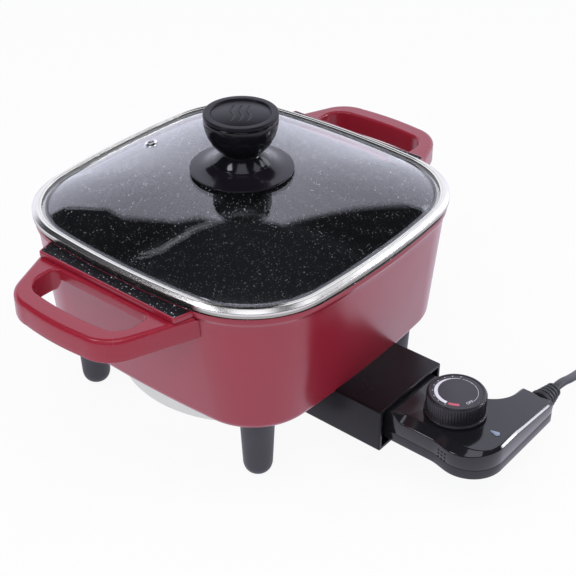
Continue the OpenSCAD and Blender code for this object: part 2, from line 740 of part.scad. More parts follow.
// Slab with that outline, through levels given as [height, inset]
module bent_slab(levels) {
    m = len(left_rail(0));
    n = 2 * m;
    rings = [for (l = levels) let (a = left_rail(l[1]), b = right_rail(l[1]))
        [for (i = [0:n - 1]) concat(i < m ? a[i] : b[n - 1 - i], l[0])]];
    top = (len(levels) - 1) * n;
    points = [for (r = rings) each r];
    walls = [for (j = [0:len(levels) - 2]) for (i = [0:n - 1])
        let (a = j * n + i, b = j * n + (i + 1) % n, c = b + n, d = a + n) each [[a, d, c], [a, c, b]]];
    floors = [for (i = [0:m - 2]) let (a = i, b = i + 1, c = n - 2 - i, d = n - 1 - i)
        each [[a, b, c], [a, c, d]]];
    roofs = [for (i = [0:m - 2]) let (a = top + i, b = top + i + 1, c = top + n - 2 - i, d = top + n - 1 - i)
        each [[a, c, b], [a, d, c]]];
    polyhedron(points, concat(walls, floors, roofs));
}

inner_z = control_z + shell_wall;
inner_top_z = control_top_z - shell_wall;
floor_blend = 0.6;
relief_y = front_y + arm_w / 2;
relief_neck_r = 4.8;
relief_flange_r = relief_neck_r + 0.9;
relief_flange_t = 2.8;
// The flange lies behind the sloping end of the top shell
relief_set = shell_wall + seat_gap + max(0, relief_flange_r + shell_wall + control_chamfer - control_h / 2);
dial_place = [dial_x, guard_end - dial_y];
lens_aside = 2.5;
lens_back = 9.5;
lens_place = [dial_x - lens_aside, front_y + lens_back];
boss_wall_r = 3.2;
boss_in = shell_wall + boss_wall_r + 0.6;
boss_back = 14;
head_sink = 0.4;
control_screw_spots = [[left_x + boss_in, guard_end - boss_back], [-left_x - boss_in, guard_end - boss_back],
                       [arm_reach - boss_back, front_y + boss_in]];

module at_control_screws() {
    for (p = control_screw_spots) translate(p) children();
}

// Holes in the control's end walls for the pins, the rod and the cord
module control_ports() {
    in_y = block_y - 1;
    for (x = [-1, 1]) translate([x * pin_span / 2, 0, 0]) rod(pin_r + pin_room, nose_y + 1, in_y);
    rod(rod_r + seat_gap, nose_y + 1, in_y);
    translate([arm_reach - relief_set, relief_y, plug_z]) rotate([0, 90, 0])
        cylinder(r = relief_neck_r + seat_gap, h = relief_set + 1);
}

module teardrop(r, l) {
    union() {
        circle(r);
        polygon([[-r * 0.95, r * 0.3], [r * 0.95, r * 0.3], [0, l]]);
    }
}

lens_r = 1.5;
lens_l = 4.4;
lens_in = 1;
shaft_boss_h = 3;
module control_top() {
    color("#17171a") difference() {
        union() {
            difference() {
                bent_slab([[split_z + seat_gap, 0], [control_top_z - control_chamfer, 0],
                           [control_top_z, control_chamfer]]);
                bent_slab([[split_z - 1, shell_wall], [inner_top_z - control_chamfer, shell_wall],
                           [inner_top_z, control_chamfer + shell_wall]]);
            }
            at_control_screws() translate([0, 0, split_z + seat_gap])
                cylinder(r = boss_wall_r, h = inner_top_z - split_z);
            translate(dial_place) translate([0, 0, inner_top_z - shaft_boss_h])
                cylinder(r = shaft_r + shell_wall, h = shaft_boss_h + 1);
        }
        at_control_screws() translate([0, 0, split_z - 1])
            cylinder(r = small_screw_r + run_gap, h = control_top_z - split_z - 4);
        translate(dial_place) translate([0, 0, split_z]) cylinder(r = shaft_r + run_gap, h = control_h);
        translate(lens_place) translate([0, 0, split_z]) linear_extrude(control_h)
            teardrop(lens_r + seat_gap, lens_l + 2 * seat_gap);
        control_ports();
    }
}

module control_bottom() {
    color("#17171a") difference() {
        union() {
            difference() {
                bent_slab([[control_z, 1], [control_z + 1, 0], [split_z, 0]]);
                bent_slab([[inner_z, shell_wall + floor_blend], [inner_z + 1, shell_wall],
                           [split_z + 1, shell_wall]]);
            }
            at_control_screws() translate([0, 0, control_z + 0.5])
                cylinder(r = boss_wall_r, h = split_z - control_z - 0.5);
        }
        at_control_screws() translate([0, 0, control_z - 1])
            cylinder(r = small_screw_r + seat_gap, h = control_h);
        at_control_screws() translate([0, 0, control_z - 1])
            cylinder(r = small_head_r + seat_gap, h = small_head_h + head_sink + 1);
        control_ports();
    }
}

module control_screws() {
    color("silver") at_control_screws() translate([0, 0, control_z + small_head_h + head_sink])
        screw(small_screw_r, small_head_r, small_head_h, control_h - control_chamfer - small_head_h - 2.4);
}

// Inside of the control
// The block's upper edges stay below the slope of the top shell
block_slope = control_chamfer * 0.35;
block_y = nose_y - shell_wall - block_slope - seat_gap;
block_top_z = inner_top_z - control_chamfer + block_slope;
block_l = 20;
clip_r = 4;
module sensing_rod() {
    color("silver") rod(rod_r, nose_y + rod_l, block_y - block_l);
}

module contact_clips() {
    color("goldenrod") for (x = [-1, 1]) translate([x * pin_span / 2, 0, 0]) difference() {
        rod(clip_r, block_y - 1, block_y - block_l);
        rod(pin_r + run_gap, block_y + 1, pin_tip - 1.5);
    }
}

module clip_block() {
    w = control_w - 2 * (shell_wall + block_slope + 2 * seat_gap);
    h = block_top_z - inner_z - seat_gap;
    color("#5a3a24") difference() {
        translate([-w / 2, block_y - block_l, inner_z + seat_gap]) cube([w, block_l, h]);
        for (x = [-1, 1]) translate([x * pin_span / 2, 0, 0])
            rod(clip_r + run_gap, block_y + 1, block_y - block_l - 1);
        rod(rod_r + run_gap, block_y + 1, block_y - block_l - 1);
    }
}

base_y = block_y - block_l - seat_gap;
base_l = 7;
blade_w = 8;
blade_t = 0.6;
low_blade_z = plug_z - 2.5;
blade_gap = 2.2;
high_blade_z = low_blade_z + blade_t + blade_gap;
blade_past = 6;
blade_end = dial_place[1] - blade_past;
module thermostat_base() {
    color("ivory") difference() {
        translate([-blade_w / 2 - 1, base_y - base_l, inner_z + seat_gap])
            cube([blade_w + 2, base_l, high_blade_z + 4 - inner_z]);
        for (z = [low_blade_z, high_blade_z])
            translate([-blade_w / 2 - seat_gap, base_y - base_l - 1, z - run_gap])
                cube([blade_w + 2 * seat_gap, base_l, blade_t + 2 * run_gap]);
    }
}

module blade(z) {
    translate([-blade_w / 2, blade_end, z]) cube([blade_w, base_y - 1.2 - blade_end, blade_t]);
}

module bimetal_blade() {
    color("silver") blade(low_blade_z);
}

module contact_blade() {
    color("goldenrod") blade(high_blade_z);
}

module contact_points() {
    h = (blade_gap - seat_gap) / 2;
    color("gainsboro") translate([0, blade_end + 3, 0]) {
        translate([0, 0, low_blade_z + blade_t]) cylinder(r = 1.6, h = h);
        translate([0, 0, high_blade_z - h]) cylinder(r = 1.6, h = h);
    }
}

module pilot_lens() {
    color("#b9c9d6") translate(lens_place) translate([0, 0, inner_top_z - lens_in])
        linear_extrude(shell_wall + lens_in + seat_gap) teardrop(lens_r, lens_l);
}

lamp_r = 2;
lamp_l = 9;
module pilot_lamp() {
    z = inner_top_z - lens_in - seat_gap - lamp_r;
    color("#e8b48c") translate([lens_place[0] - lamp_l / 2, lens_place[1] + 1, z])
        rotate([0, 90, 0]) cylinder(r = lamp_r, h = lamp_l);
}

// Tube with an oval section, swept along points with its wide side level
function unit(v) = v / norm(v);
function heading(p, i) = unit(p[min(i + 1, len(p) - 1)] - p[max(i - 1, 0)]);
function oval(p, i, w, t, n) =
    let (d = heading(p, i), s = unit(cross([0, 0, 1], d)), u = cross(d, s))
    [for (k = [0:n - 1]) let (a = 360 * (k + 0.5) / n) p[i] + s * (w / 2 * cos(a)) + u * (t / 2 * sin(a))];
function tube_rings(p, w, t, n) = [for (i = [0:len(p) - 1]) oval(p, i, w, t, n)];

wire_d = 2.6;
wire_back = block_y - block_l - 0.2;
wire_end_x = arm_reach - relief_set - relief_flange_t - seat_gap;
module lead_wires() {
    dy = control_corner;
    right = [[pin_span / 2, wire_back, plug_z], [pin_span / 2, wire_back - 5, plug_z],
             [pin_span / 2 + 1, front_y + dy, plug_z - 1],
             [pin_span / 2 + 5, front_y + dy * 0.55, plug_z - 2],
             [pin_span / 2 + 14, relief_y + 3.8, plug_z - 1], [wire_end_x - 5, relief_y + 3.8, plug_z],
             [wire_end_x, relief_y + 3.8, plug_z]];
    left = [[-pin_span / 2, wire_back, plug_z], [-pin_span / 2, wire_back - 5, plug_z],
            [-pin_span / 2 + 1, front_y + dy, plug_z - 1],
            [-pin_span / 2 + 5, front_y + dy * 0.6, plug_z - 2],
            [4, relief_y - 1.5, plug_z - 3], [24, relief_y + 1, plug_z - 1],
            [wire_end_x - 5, relief_y + 1, plug_z], [wire_end_x, relief_y + 1, plug_z]];
    color("#7a1414") loft(tube_rings(right, wire_d, wire_d, 8));
    color("#101010") loft(tube_rings(left, wire_d, wire_d, 8));
}

// Strain relief: ribs on a tapering neck, with a flange inside the control
relief_ribs = 4;
collar_t = 1.8;
module strain_relief() {
    root_r = arm_w / 2 - 2;
    tip_r = root_r * 0.62;
    ribs_z = collar_t + 4 * seat_gap;
    pitch = (relief_l - ribs_z) / relief_ribs;
    rib_t = pitch * 0.62;
    color("#141416") translate([arm_reach, relief_y, plug_z]) rotate([0, 90, 0]) {
        translate([0, 0, -relief_set - relief_flange_t]) cylinder(r = relief_flange_r, h = relief_flange_t);
        translate([0, 0, -relief_set - 1]) cylinder(r = relief_neck_r, h = relief_set + 1 + relief_l);
        translate([0, 0, seat_gap]) cylinder(r = root_r, h = collar_t);
        for (i = [0:relief_ribs - 1]) let (r = root_r + (tip_r - root_r) * (i + 0.6) / relief_ribs)
            translate([0, 0, ribs_z + pitch * (i + 1) - rib_t]) cylinder(r1 = r, r2 = r - 0.5, h = rib_t);
    }
}

// Dial: ribbed skirt on a flange, with the shaft that turns in the top shell
dial_z = control_top_z + body_gap;
dial_top_z = dial_z + dial_h;
flange_h = 2;
flange_over = 0.9;
crown_h = 1.4;
crown_in = 0.9;
face_in = 2.6;
face_r = dial_r - face_in;
face_t = 0.5;
socket_h = 9;
module dial() {
    n = 2 * dial_ribs;
    ribs = [for (i = [0:2 * n - 1]) let (r = dial_r - (floor(i / 2) % 2) * rib_depth, a = 180 * i / n)
        r * [cos(a), sin(a)]];
    top_r = dial_r - rib_depth;
    color("#1b1b1e") translate(dial_place) difference() {
        union() {
            translate([0, 0, dial_z]) cylinder(r = dial_r + flange_over, h = flange_h);
            translate([0, 0, dial_z + flange_h]) linear_extrude(dial_h - flange_h - crown_h) polygon(ribs);
            translate([0, 0, dial_top_z - crown_h]) cylinder(r1 = top_r, r2 = top_r - crown_in, h = crown_h);
        }
        translate([0, 0, dial_top_z - face_t]) cylinder(r = face_r + seat_gap, h = 1);
        translate([0, 0, dial_z - 1]) cylinder(r = shaft_r + run_gap, h = socket_h + 1);
    }
}

module dial_face() {
    color("#3a3a3e") translate(dial_place) translate([0, 0, dial_top_z - face_t])
        cylinder(r = face_r, h = face_t);
}

module dial_shaft() {
    collar_h = 1.4;
    collar_z = inner_top_z - shaft_boss_h - body_gap - collar_h;
    end_z = high_blade_z + blade_t + body_gap;
    color("silver") translate(dial_place) {
        translate([0, 0, end_z]) cylinder(r = shaft_r, h = dial_z + socket_h - seat_gap - end_z);
        translate([0, 0, collar_z]) cylinder(r = shaft_r + 1.6, h = collar_h);
    }
}

// Cord: a stretch that droops to the table, then a flat coil of two layers
coil_c = [176, -222];
coil_low = 0.8 + cord_t / 2;
coil_step = cord_t + 0.7;
coil_pitch = cord_w + 0.8;
coil_lead = 8;
cord_route = [[71, -195.5, 36], [77, -195.5, 36], [84, -195.5, 34.6], [91, -195.5, 32.2], [98, -195.2, 29.8],
              [106, -194.6, 27.2], [114, -193.4, 24], [122, -192, 20.2], [131, -190, 15.4],
              [140, -187.8, 10.6], [149, -185.8, 6.6], [157, -184.5, 4], [162, -184, 3], [168, -184, 3]];
module cord() {
    color("#3c3c40") loft(tube_rings(cord_route, cord_w, cord_t, 10));
}

// Coil: turns wind inwards on the table, climb a layer in half a turn and wind out again on top
function smooth(t) = let (s = min(1, max(0, t))) s * s * (3 - 2 * s);
function coil_point(u) =
    let (r = coil_r - coil_pitch * min(u, coil_turns - u), a = 90 - 360 * u,
         climb = smooth(2 * (u - coil_turns / 2) + 0.5))
    [coil_c[0] + r * cos(a), coil_c[1] + r * sin(a), coil_low + coil_step * climb];
coil_rings = 24 * coil_turns;
coil_path = concat([[coil_c[0] - coil_lead, coil_c[1] + coil_r, coil_low]],
    [for (i = [0:coil_rings]) coil_point(i / 24)],
    [[coil_c[0] - coil_lead, coil_c[1] - coil_r, coil_low + coil_step]]);
module cord_coil() {
    rings = tube_rings(coil_path, cord_w, cord_t, 6);
    far = 8;
    reach = 3 * cord_w;
    gap = min([for (i = [0:len(rings) - 1 - far]) for (j = [i + far:len(rings) - 1])
        norm(coil_path[i] - coil_path[j]) > reach ? reach
        : min([for (p = rings[i]) for (q = rings[j]) norm(p - q)])]);
    echo(str("least gap between the coil's turns: ", gap));
    color("#3c3c40") loft(rings);
}

// Tie: flat band round the stacked turns, opposite the side where the cord comes in
tie_w = 5;
tie_t = 0.6;
module cord_tie() {
    r0 = coil_r - coil_pitch * coil_turns / 2 - cord_w / 2 - 0.4;
    r1 = coil_r + cord_w / 2 + 0.4;
    h = coil_step + cord_t + 2 * seat_gap;
    z = coil_low - cord_t / 2 - seat_gap;
    color("#2a2a2a") translate([coil_c[0], coil_c[1] - tie_w / 2, z]) difference() {
        translate([r0 - tie_t, 0, -tie_t]) cube([r1 - r0 + 2 * tie_t, tie_w, h + 2 * tie_t]);
        translate([r0, -1, 0]) cube([r1 - r0, tie_w + 2, h]);
    }
}

// Plug: moulded body with its own relief, lying beside the coil
plug_axis = [coil_c[0] - coil_lead, coil_c[1] - coil_r, coil_low + coil_step];
plug_l = 26;
plug_relief_l = 20;
plug_w = 25;
plug_h = 15;
blade_span = 12.7;
module plug_body() {
    r = 3;
    color("#3a3a3d") translate(plug_axis) rotate([0, -90, 0]) {
        cylinder(r1 = cord_w / 2 + 0.8, r2 = plug_h / 2 - 1, h = plug_relief_l);
        translate([-plug_h / 2, -plug_w / 2, plug_relief_l]) linear_extrude(plug_l) union() {
            translate([r, 0]) square([plug_h - 2 * r, plug_w]);
            translate([0, r]) square([plug_h, plug_w - 2 * r]);
            for (x = [r, plug_h - r], y = [r, plug_w - r]) translate([x, y]) circle(r);
        }
    }
}

module plug_blades() {
    color("goldenrod") translate(plug_axis) rotate([0, -90, 0]) for (y = [-1, 1])
        translate([-3.2, y * blade_span / 2 - 0.75, plug_relief_l + plug_l]) cube([6.4, 1.5, 17.5]);
}

pan();
left_handle();
right_handle();
handle_screws();
front_left_foot();
front_right_foot();
back_left_foot();
back_right_foot();
foot_screws();
heat_spreader();
heating_element();
terminal_pins();
pin_insulators();
bottom_cover();
cover_screws();
guard();
guard_screws();
lid_glass();
lid_rim();
steam_eyelet();
knob_shield();
knob_body();
knob_ring();
knob_cap();
knob_insert();
knob_screw();
knob_washer();
control_top();
control_bottom();
control_screws();
sensing_rod();
contact_clips();
clip_block();
thermostat_base();
bimetal_blade();
contact_blade();
contact_points();
pilot_lens();
pilot_lamp();
lead_wires();
strain_relief();
dial();
dial_face();
dial_shaft();
cord();
cord_coil();
cord_tie();
plug_body();
plug_blades();
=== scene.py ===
import bpy
import numpy as np
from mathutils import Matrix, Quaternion, Vector


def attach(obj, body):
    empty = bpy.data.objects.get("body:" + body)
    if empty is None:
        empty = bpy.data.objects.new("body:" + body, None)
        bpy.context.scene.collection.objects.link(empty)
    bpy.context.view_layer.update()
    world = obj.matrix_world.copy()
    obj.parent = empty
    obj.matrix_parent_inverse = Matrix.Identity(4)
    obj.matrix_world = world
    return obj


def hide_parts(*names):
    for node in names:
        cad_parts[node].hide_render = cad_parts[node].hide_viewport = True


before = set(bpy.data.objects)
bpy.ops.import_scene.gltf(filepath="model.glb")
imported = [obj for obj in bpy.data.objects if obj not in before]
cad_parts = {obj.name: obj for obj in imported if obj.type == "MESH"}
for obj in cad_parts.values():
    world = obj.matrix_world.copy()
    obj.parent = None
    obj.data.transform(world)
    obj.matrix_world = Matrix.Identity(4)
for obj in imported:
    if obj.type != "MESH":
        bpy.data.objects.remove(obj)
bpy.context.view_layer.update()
print("frame loaded:", len(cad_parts), "nodes")

mm = 0.001
pi = np.pi
needle = 0.02  # radius in millimetres at which a turned profile closes round its axis


def show(name, data):
    # a new object with its data joins the scene
    thing = bpy.data.objects.new(name, data)
    bpy.context.scene.collection.objects.link(thing)
    return thing


def facing(place, aim):
    # the turn that points a camera or a panel from its place to the aim
    return (Vector(aim) - Vector(place)).to_track_quat("-Z", "Y")


# camera

view = dict(place=(-0.5262, -0.4693, 0.5438), aim=(0.0170, -0.0231, 0.0677), lens=80.3, sensor=36, near=0.01)


def setCamera():
    # the camera looks from its place along the straight line to the aim
    data = bpy.data.cameras.new("camera")
    data.lens, data.sensor_width, data.clip_start = view["lens"], view["sensor"], view["near"]
    eye = show("camera", data)
    eye.location = view["place"]
    eye.rotation_euler = facing(view["place"], view["aim"]).to_euler()
    bpy.context.scene.camera = eye


setCamera()
print("camera set")

# finishes


def addNode(mat, kind, inputs=None, **settings):
    # a node with its settings, and its sockets either linked or given a value
    node = mat.node_tree.nodes.new(kind)
    for key, value in settings.items():
        setattr(node, key, value)
    for key, value in (inputs or {}).items():
        if isinstance(value, bpy.types.NodeSocket):
            mat.node_tree.links.new(value, node.inputs[key])
        else:
            node.inputs[key].default_value = value
    return node


def newFinish(name, colour, rough, metal=0.0, **more):
    # a plain shader with its colour, roughness, share of metal and any further sockets
    mat = bpy.data.materials.new(name)
    mat.use_nodes = True
    shader = mat.node_tree.nodes["Principled BSDF"]
    shader.inputs["Base Color"].default_value = (*colour, 1)
    shader.inputs["Roughness"].default_value = rough
    shader.inputs["Metallic"].default_value = metal
    for key, value in more.items():
        shader.inputs[key.replace("_", " ")].default_value = value
    return mat


def joinTo(mat, source, socket):
    # an output feeds one socket of the main shader
    mat.node_tree.links.new(source, mat.node_tree.nodes["Principled BSDF"].inputs[socket])


def mixShaders(mat, share, first, second):
    # one shader goes over to another with the share
    return addNode(mat, "ShaderNodeMixShader", {0: share, 1: first.outputs[0], 2: second.outputs[0]})


def surfaceFrom(mat, share, second):
    # the finish is a mix of its main shader and a second one
    nodes = mat.node_tree.nodes
    both = mixShaders(mat, share, nodes["Principled BSDF"], second)
    mat.node_tree.links.new(both.outputs[0], nodes["Material Output"].inputs["Surface"])


def calc(mat, operation, *values):
    # one step of arithmetic on numbers and other nodes' outputs
    return addNode(mat, "ShaderNodeMath", dict(enumerate(values)), operation=operation).outputs[0]


def ranged(mat, value, first, last, low, high, kind="LINEAR"):
    # what runs from first to last becomes a run from low to high
    ends = {"Value": value, "From Min": first, "From Max": last, "To Min": low, "To Max": high}
    return addNode(mat, "ShaderNodeMapRange", ends, interpolation_type=kind).outputs["Result"]


def objectPoint(mat):
    # the point in the object's own coordinates
    return addNode(mat, "ShaderNodeTexCoord").outputs["Object"]


def noiseOf(mat, scale, detail, stretch=None):
    # cloudy noise over the object's own coordinates, squeezed along one direction if asked
    where = objectPoint(mat)
    if stretch:
        where = addNode(mat, "ShaderNodeMapping", {"Vector": where, "Scale": stretch}).outputs["Vector"]
    noise = addNode(mat, "ShaderNodeTexNoise", {"Vector": where, "Scale": scale, "Detail": detail})
    return noise.outputs["Fac"]


def mixColours(mat, share, first, second):
    # the base colour goes from the first colour to the second with the share
    both = addNode(mat, "ShaderNodeMix", {0: share, 6: first, 7: second}, data_type="RGBA")
    joinTo(mat, both.outputs[2], "Base Color")


def mottle(mat, first, second, scale, detail=3.0):
    # the colour drifts between two tones with a cloudy noise
    mixColours(mat, noiseOf(mat, scale, detail), (*first, 1), (*second, 1))


def smudge(mat, low, high, scale, detail=1.0, stretch=None):
    # the roughness wanders between two values; squeezed noise gives fine parallel scratches
    level = noiseOf(mat, scale, detail, stretch)
    joinTo(mat, ranged(mat, level, 0.15, 0.85, low, high, "SMOOTHSTEP"), "Roughness")


def grain(mat, scale, depth, strength):
    # a fine noise lifts the surface by the given depth in metres
    height = noiseOf(mat, scale, 2.0)
    bump = addNode(mat, "ShaderNodeBump", {"Height": height, "Strength": strength, "Distance": depth})
    joinTo(mat, bump.outputs["Normal"], "Normal")


def makeEnamel(name, deep, light, rough, coat, coatRough):
    # glossy red coat: cloudy tone, slightly uneven gloss and a clear top layer
    mat = newFinish(name, deep, rough, Coat_Weight=coat, Coat_Roughness=coatRough, IOR=1.5)
    mottle(mat, deep, light, 30)
    smudge(mat, rough - 0.02, rough + 0.03, 35)
    return mat


# flecks: cells in a metre, largest reach in a cell, range of brightness and how few are bright
granite = dict(ground=(0.009, 0.009, 0.010), cells=800.0, least=0.05, reach=0.36, dim=0.05, bright=0.85,
               few=2.6)


def makeGranite(name, gloss, low, high):
    # black coat with pale flecks: a cell's own random tone sets the size and the brightness of its fleck
    g = granite
    mat = newFinish(name, g["ground"], low, Specular_IOR_Level=gloss)
    cells = addNode(mat, "ShaderNodeTexVoronoi", {"Vector": objectPoint(mat), "Scale": g["cells"]})
    parts = addNode(mat, "ShaderNodeSeparateColor", {"Color": cells.outputs["Color"]})
    reach = ranged(mat, parts.outputs[0], g["least"], 1, 0, g["reach"])
    inside = calc(mat, "LESS_THAN", cells.outputs["Distance"], reach)
    level = ranged(mat, calc(mat, "POWER", parts.outputs[1], g["few"]), 0, 1, g["dim"], g["bright"])
    fleck = addNode(mat, "ShaderNodeCombineColor", {0: level, 1: level, 2: level})
    mixColours(mat, inside, (*g["ground"], 1), fleck.outputs["Color"])
    smudge(mat, low, high, 60)
    return mat


def makeGlass():
    # clear sheet that lets shadow rays through
    mat = newFinish("clearGlass", (0.95, 0.98, 0.97), 0.0, Transmission_Weight=1.0, IOR=1.52)
    smudge(mat, 0.004, 0.010, 25)
    path = addNode(mat, "ShaderNodeLightPath")
    clear = addNode(mat, "ShaderNodeBsdfTransparent", {"Color": (0.92, 0.95, 0.94, 1)})
    surfaceFrom(mat, path.outputs["Is Shadow Ray"], clear)
    return mat


def makePlastic(name, tone, low, high, gloss=0.5, bumpScale=600, bumpDepth=0.000008):
    # moulded plastic: roughness drifts between two values over a fine moulded grain
    mat = newFinish(name, tone, (low + high) / 2, Specular_IOR_Level=gloss)
    mottle(mat, tone, tuple(1.25 * c for c in tone), 60, 1.0)
    smudge(mat, low, high, 50)
    grain(mat, bumpScale, bumpDepth, 0.3)
    return mat


def makeMetal(name, tone, low, high, scale=300, stretch=(1, 1, 1)):
    # bare metal: a slightly cloudy tone and a brushed gloss
    mat = newFinish(name, tone, (low + high) / 2, 1.0)
    mottle(mat, tone, tuple(0.9 * c for c in tone), 80)
    smudge(mat, low, high, scale, 3.0, stretch)
    return mat


polished = dict(bumpScale=300, bumpDepth=0.00001)
redEnamel = makeEnamel("redEnamel", (0.275, 0.011, 0.025), (0.295, 0.013, 0.029), 0.29, 0.35, 0.22)
redPlastic = makeEnamel("redPlastic", (0.280, 0.011, 0.024), (0.298, 0.012, 0.027), 0.26, 0.05, 0.12)
wellGranite = makeGranite("wellGranite", 0.20, 0.31, 0.34)
ledgeGranite = makeGranite("ledgeGranite", 0.12, 0.50, 0.60)
clearGlass = makeGlass()
chrome = makeMetal("chrome", (0.80, 0.80, 0.79), 0.05, 0.09, 200)
rimSteel = makeMetal("rimSteel", (0.68, 0.675, 0.59), 0.04, 0.07, 200)
rimSatin = makeMetal("rimSatin", (0.70, 0.695, 0.64), 0.24, 0.27, 25)
# a darker copy of the rim's steel: painted shade for the rim band's underside
rimPaintedShade = makeMetal("rimPaintedShade", (0.40, 0.40, 0.34), 0.25, 0.35)
steel = makeMetal("steel", (0.62, 0.62, 0.63), 0.22, 0.38, 500)
pressedAlloy = makeMetal("pressedAlloy", (0.71, 0.73, 0.64), 0.30, 0.42, 400, (1, 12, 1))
castAlloy = makeMetal("castAlloy", (0.66, 0.66, 0.67), 0.40, 0.60, 700)
brass = makeMetal("brass", (0.83, 0.60, 0.27), 0.18, 0.32, 500)
satinBlack = makePlastic("satinBlack", (0.005, 0.004, 0.005), 0.26, 0.36, 0.25)
postBlack = makePlastic("postBlack", (0.030, 0.030, 0.033), 0.42, 0.54)
glossBlack = makePlastic("glossBlack", (0.010, 0.010, 0.011), 0.07, 0.12, **polished)
knobBlack = makePlastic("knobBlack", (0.005, 0.005, 0.006), 0.10, 0.15, 0.32, **polished)
shieldBlack = makePlastic("shieldBlack", (0.007, 0.006, 0.008), 0.12, 0.16, 0.32, **polished)
capBlack = makePlastic("capBlack", (0.007, 0.006, 0.008), 0.30, 0.40, 0.17)
dialGrey = makePlastic("dialGrey", (0.016, 0.015, 0.017), 0.20, 0.28)
faceGrey = makePlastic("faceGrey", (0.030, 0.029, 0.032), 0.30, 0.40)
rubber = makePlastic("rubber", (0.026, 0.026, 0.028), 0.45, 0.60)
jacket = makePlastic("jacket", (0.035, 0.035, 0.039), 0.40, 0.55)
plugGrey = makePlastic("plugGrey", (0.055, 0.055, 0.060), 0.42, 0.55)
tieBlack = makePlastic("tieBlack", (0.03, 0.03, 0.03), 0.35, 0.5)
ceramic = makePlastic("ceramic", (0.72, 0.68, 0.60), 0.30, 0.45)
brownMoulding = makePlastic("brownMoulding", (0.10, 0.045, 0.022), 0.30, 0.45)
printWhite = makePlastic("printWhite", (0.70, 0.70, 0.70), 0.45, 0.55)
printRed = makePlastic("printRed", (0.56, 0.11, 0.15), 0.45, 0.55)
# near-black discs set in holes: painted shade
paintedHoleShade = makePlastic("paintedHoleShade", (0.004, 0.004, 0.004), 0.6, 0.8)
lensPale = newFinish("lensPale", (0.42, 0.52, 0.62), 0.15, Transmission_Weight=0.35)
smudge(lensPale, 0.1, 0.2, 600)
print("finishes made:", len(bpy.data.materials))

# shared shape functions, in millimetres


def smooth(t):
    # 0 before 0, 1 after 1 and an even S between them
    t = np.clip(t, 0, 1)
    return t * t * (3 - 2 * t)


def arc(centre, radius, first, last, count):
    # points on a circle, or on an ellipse of two radii, over a run of angles in degrees
    a = np.radians(np.linspace(first, last, count))
    return np.asarray(centre) + np.asarray(radius) * np.stack([np.cos(a), np.sin(a)], 1)


def joined(*parts):
    # single points and runs of points become one run
    return np.concatenate([np.atleast_2d(np.asarray(part, float)) for part in parts])


def levelled(loop, z):
    # a flat loop gets its height as a third column
    return np.column_stack([loop, np.broadcast_to(z, len(loop))])


def shell(points, closedRows=False, picks=0):
    # cell i,j of a grid becomes the quad of its four corner points, the columns run on to their start,
    # and one face lies over each end ring unless the rows close on themselves too
    rows, cols = points.shape[:2]
    i, j = np.meshgrid(np.arange(rows if closedRows else rows - 1), np.arange(cols), indexing="ij")
    below, above, there = i * cols, ((i + 1) % rows) * cols, (j + 1) % cols
    blocks = [np.stack([below + j, below + there, above + there, above + j], -1).reshape(-1, 4)]
    if not closedRows:
        blocks += [np.arange(cols)[None, ::-1], (rows - 1) * cols + np.arange(cols)[None]]
    points = points.reshape(-1, 3)
    # the signed volume of fans over all faces tells which way they look
    volume = sum(np.sum(points[b[:, 0]] * np.cross(points[b[:, k]], points[b[:, k + 1]]))
                 for b in blocks for k in range(1, b.shape[1] - 1))
    if volume < 0:
        blocks = [b[:, ::-1] for b in blocks]
    count = sum(len(b) for b in blocks)
    return dict(points=points, blocks=blocks, picks=np.array(np.broadcast_to(picks, count)))


def addPiece(name, body, shells, mats, stands=(), crease=32):
    # shells become one mesh, smooth but for edges sharper than the crease, and the piece rides on its body
    firsts = np.cumsum([0] + [len(s["points"]) for s in shells])
    blocks = [b + first for s, first in zip(shells, firsts) for b in s["blocks"]]
    points = np.concatenate([s["points"] for s in shells]) * mm
    sizes = np.concatenate([np.full(len(b), b.shape[1]) for b in blocks])
    mesh = bpy.data.meshes.new(name)
    mesh.vertices.add(len(points))
    mesh.vertices.foreach_set("co", np.ascontiguousarray(points, np.float32).ravel())
    mesh.loops.add(int(sizes.sum()))
    mesh.loops.foreach_set("vertex_index", np.concatenate([b.ravel() for b in blocks]).astype(np.int32))
    mesh.polygons.add(len(sizes))
    mesh.polygons.foreach_set("loop_start", np.concatenate([[0], np.cumsum(sizes)[:-1]]).astype(np.int32))
    for mat in mats if isinstance(mats, list) else [mats]:
        mesh.materials.append(mat)
    mesh.polygons.foreach_set("material_index", np.concatenate([s["picks"] for s in shells]).astype(np.int32))
    mesh.update(calc_edges=True)
    mesh.validate()
    mesh.shade_smooth()
    mesh.set_sharp_from_angle(angle=np.radians(crease))
    piece = show(name, mesh)
    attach(piece, body)
    if stands:
        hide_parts(*stands)
    return piece


# directions of the outline's normals: few along a side, many round a corner
squareAngles = np.concatenate([q * pi / 2 + np.radians(np.concatenate([
    np.linspace(-7, 7, 16, endpoint=False), np.linspace(7, 83, 56, endpoint=False)])) for q in range(4)])


def squareRows(half, corner, bow, z):
    # a bowed square from four shallow side arcs that run tangentially into four corner arcs: a point is
    # found from the direction of its normal, and each row has its half width, corner, bow and height
    rows = np.broadcast_arrays(half, corner, bow, z)
    half, corner, bow, z = (np.atleast_1d(np.asarray(v, float))[:, None] for v in rows)
    side = (half - corner) ** 2 / (2 * bow) + bow / 2
    reach = half + bow
    lean = np.arccos((side - reach) / (side - corner) / np.sqrt(2)) - pi / 4
    centre = reach - side + (side - corner) * np.cos(lean)
    turn = np.round(squareAngles / (pi / 2)) * pi / 2
    local = squareAngles - turn
    flat = np.abs(local) <= lean
    x = np.where(flat, reach - side + side * np.cos(local), centre + corner * np.cos(local))
    y = np.where(flat, side * np.sin(local), np.sign(local) * centre + corner * np.sin(local))
    return np.stack([np.cos(turn) * x - np.sin(turn) * y, np.sin(turn) * x + np.cos(turn) * y, z + 0 * x], -1)


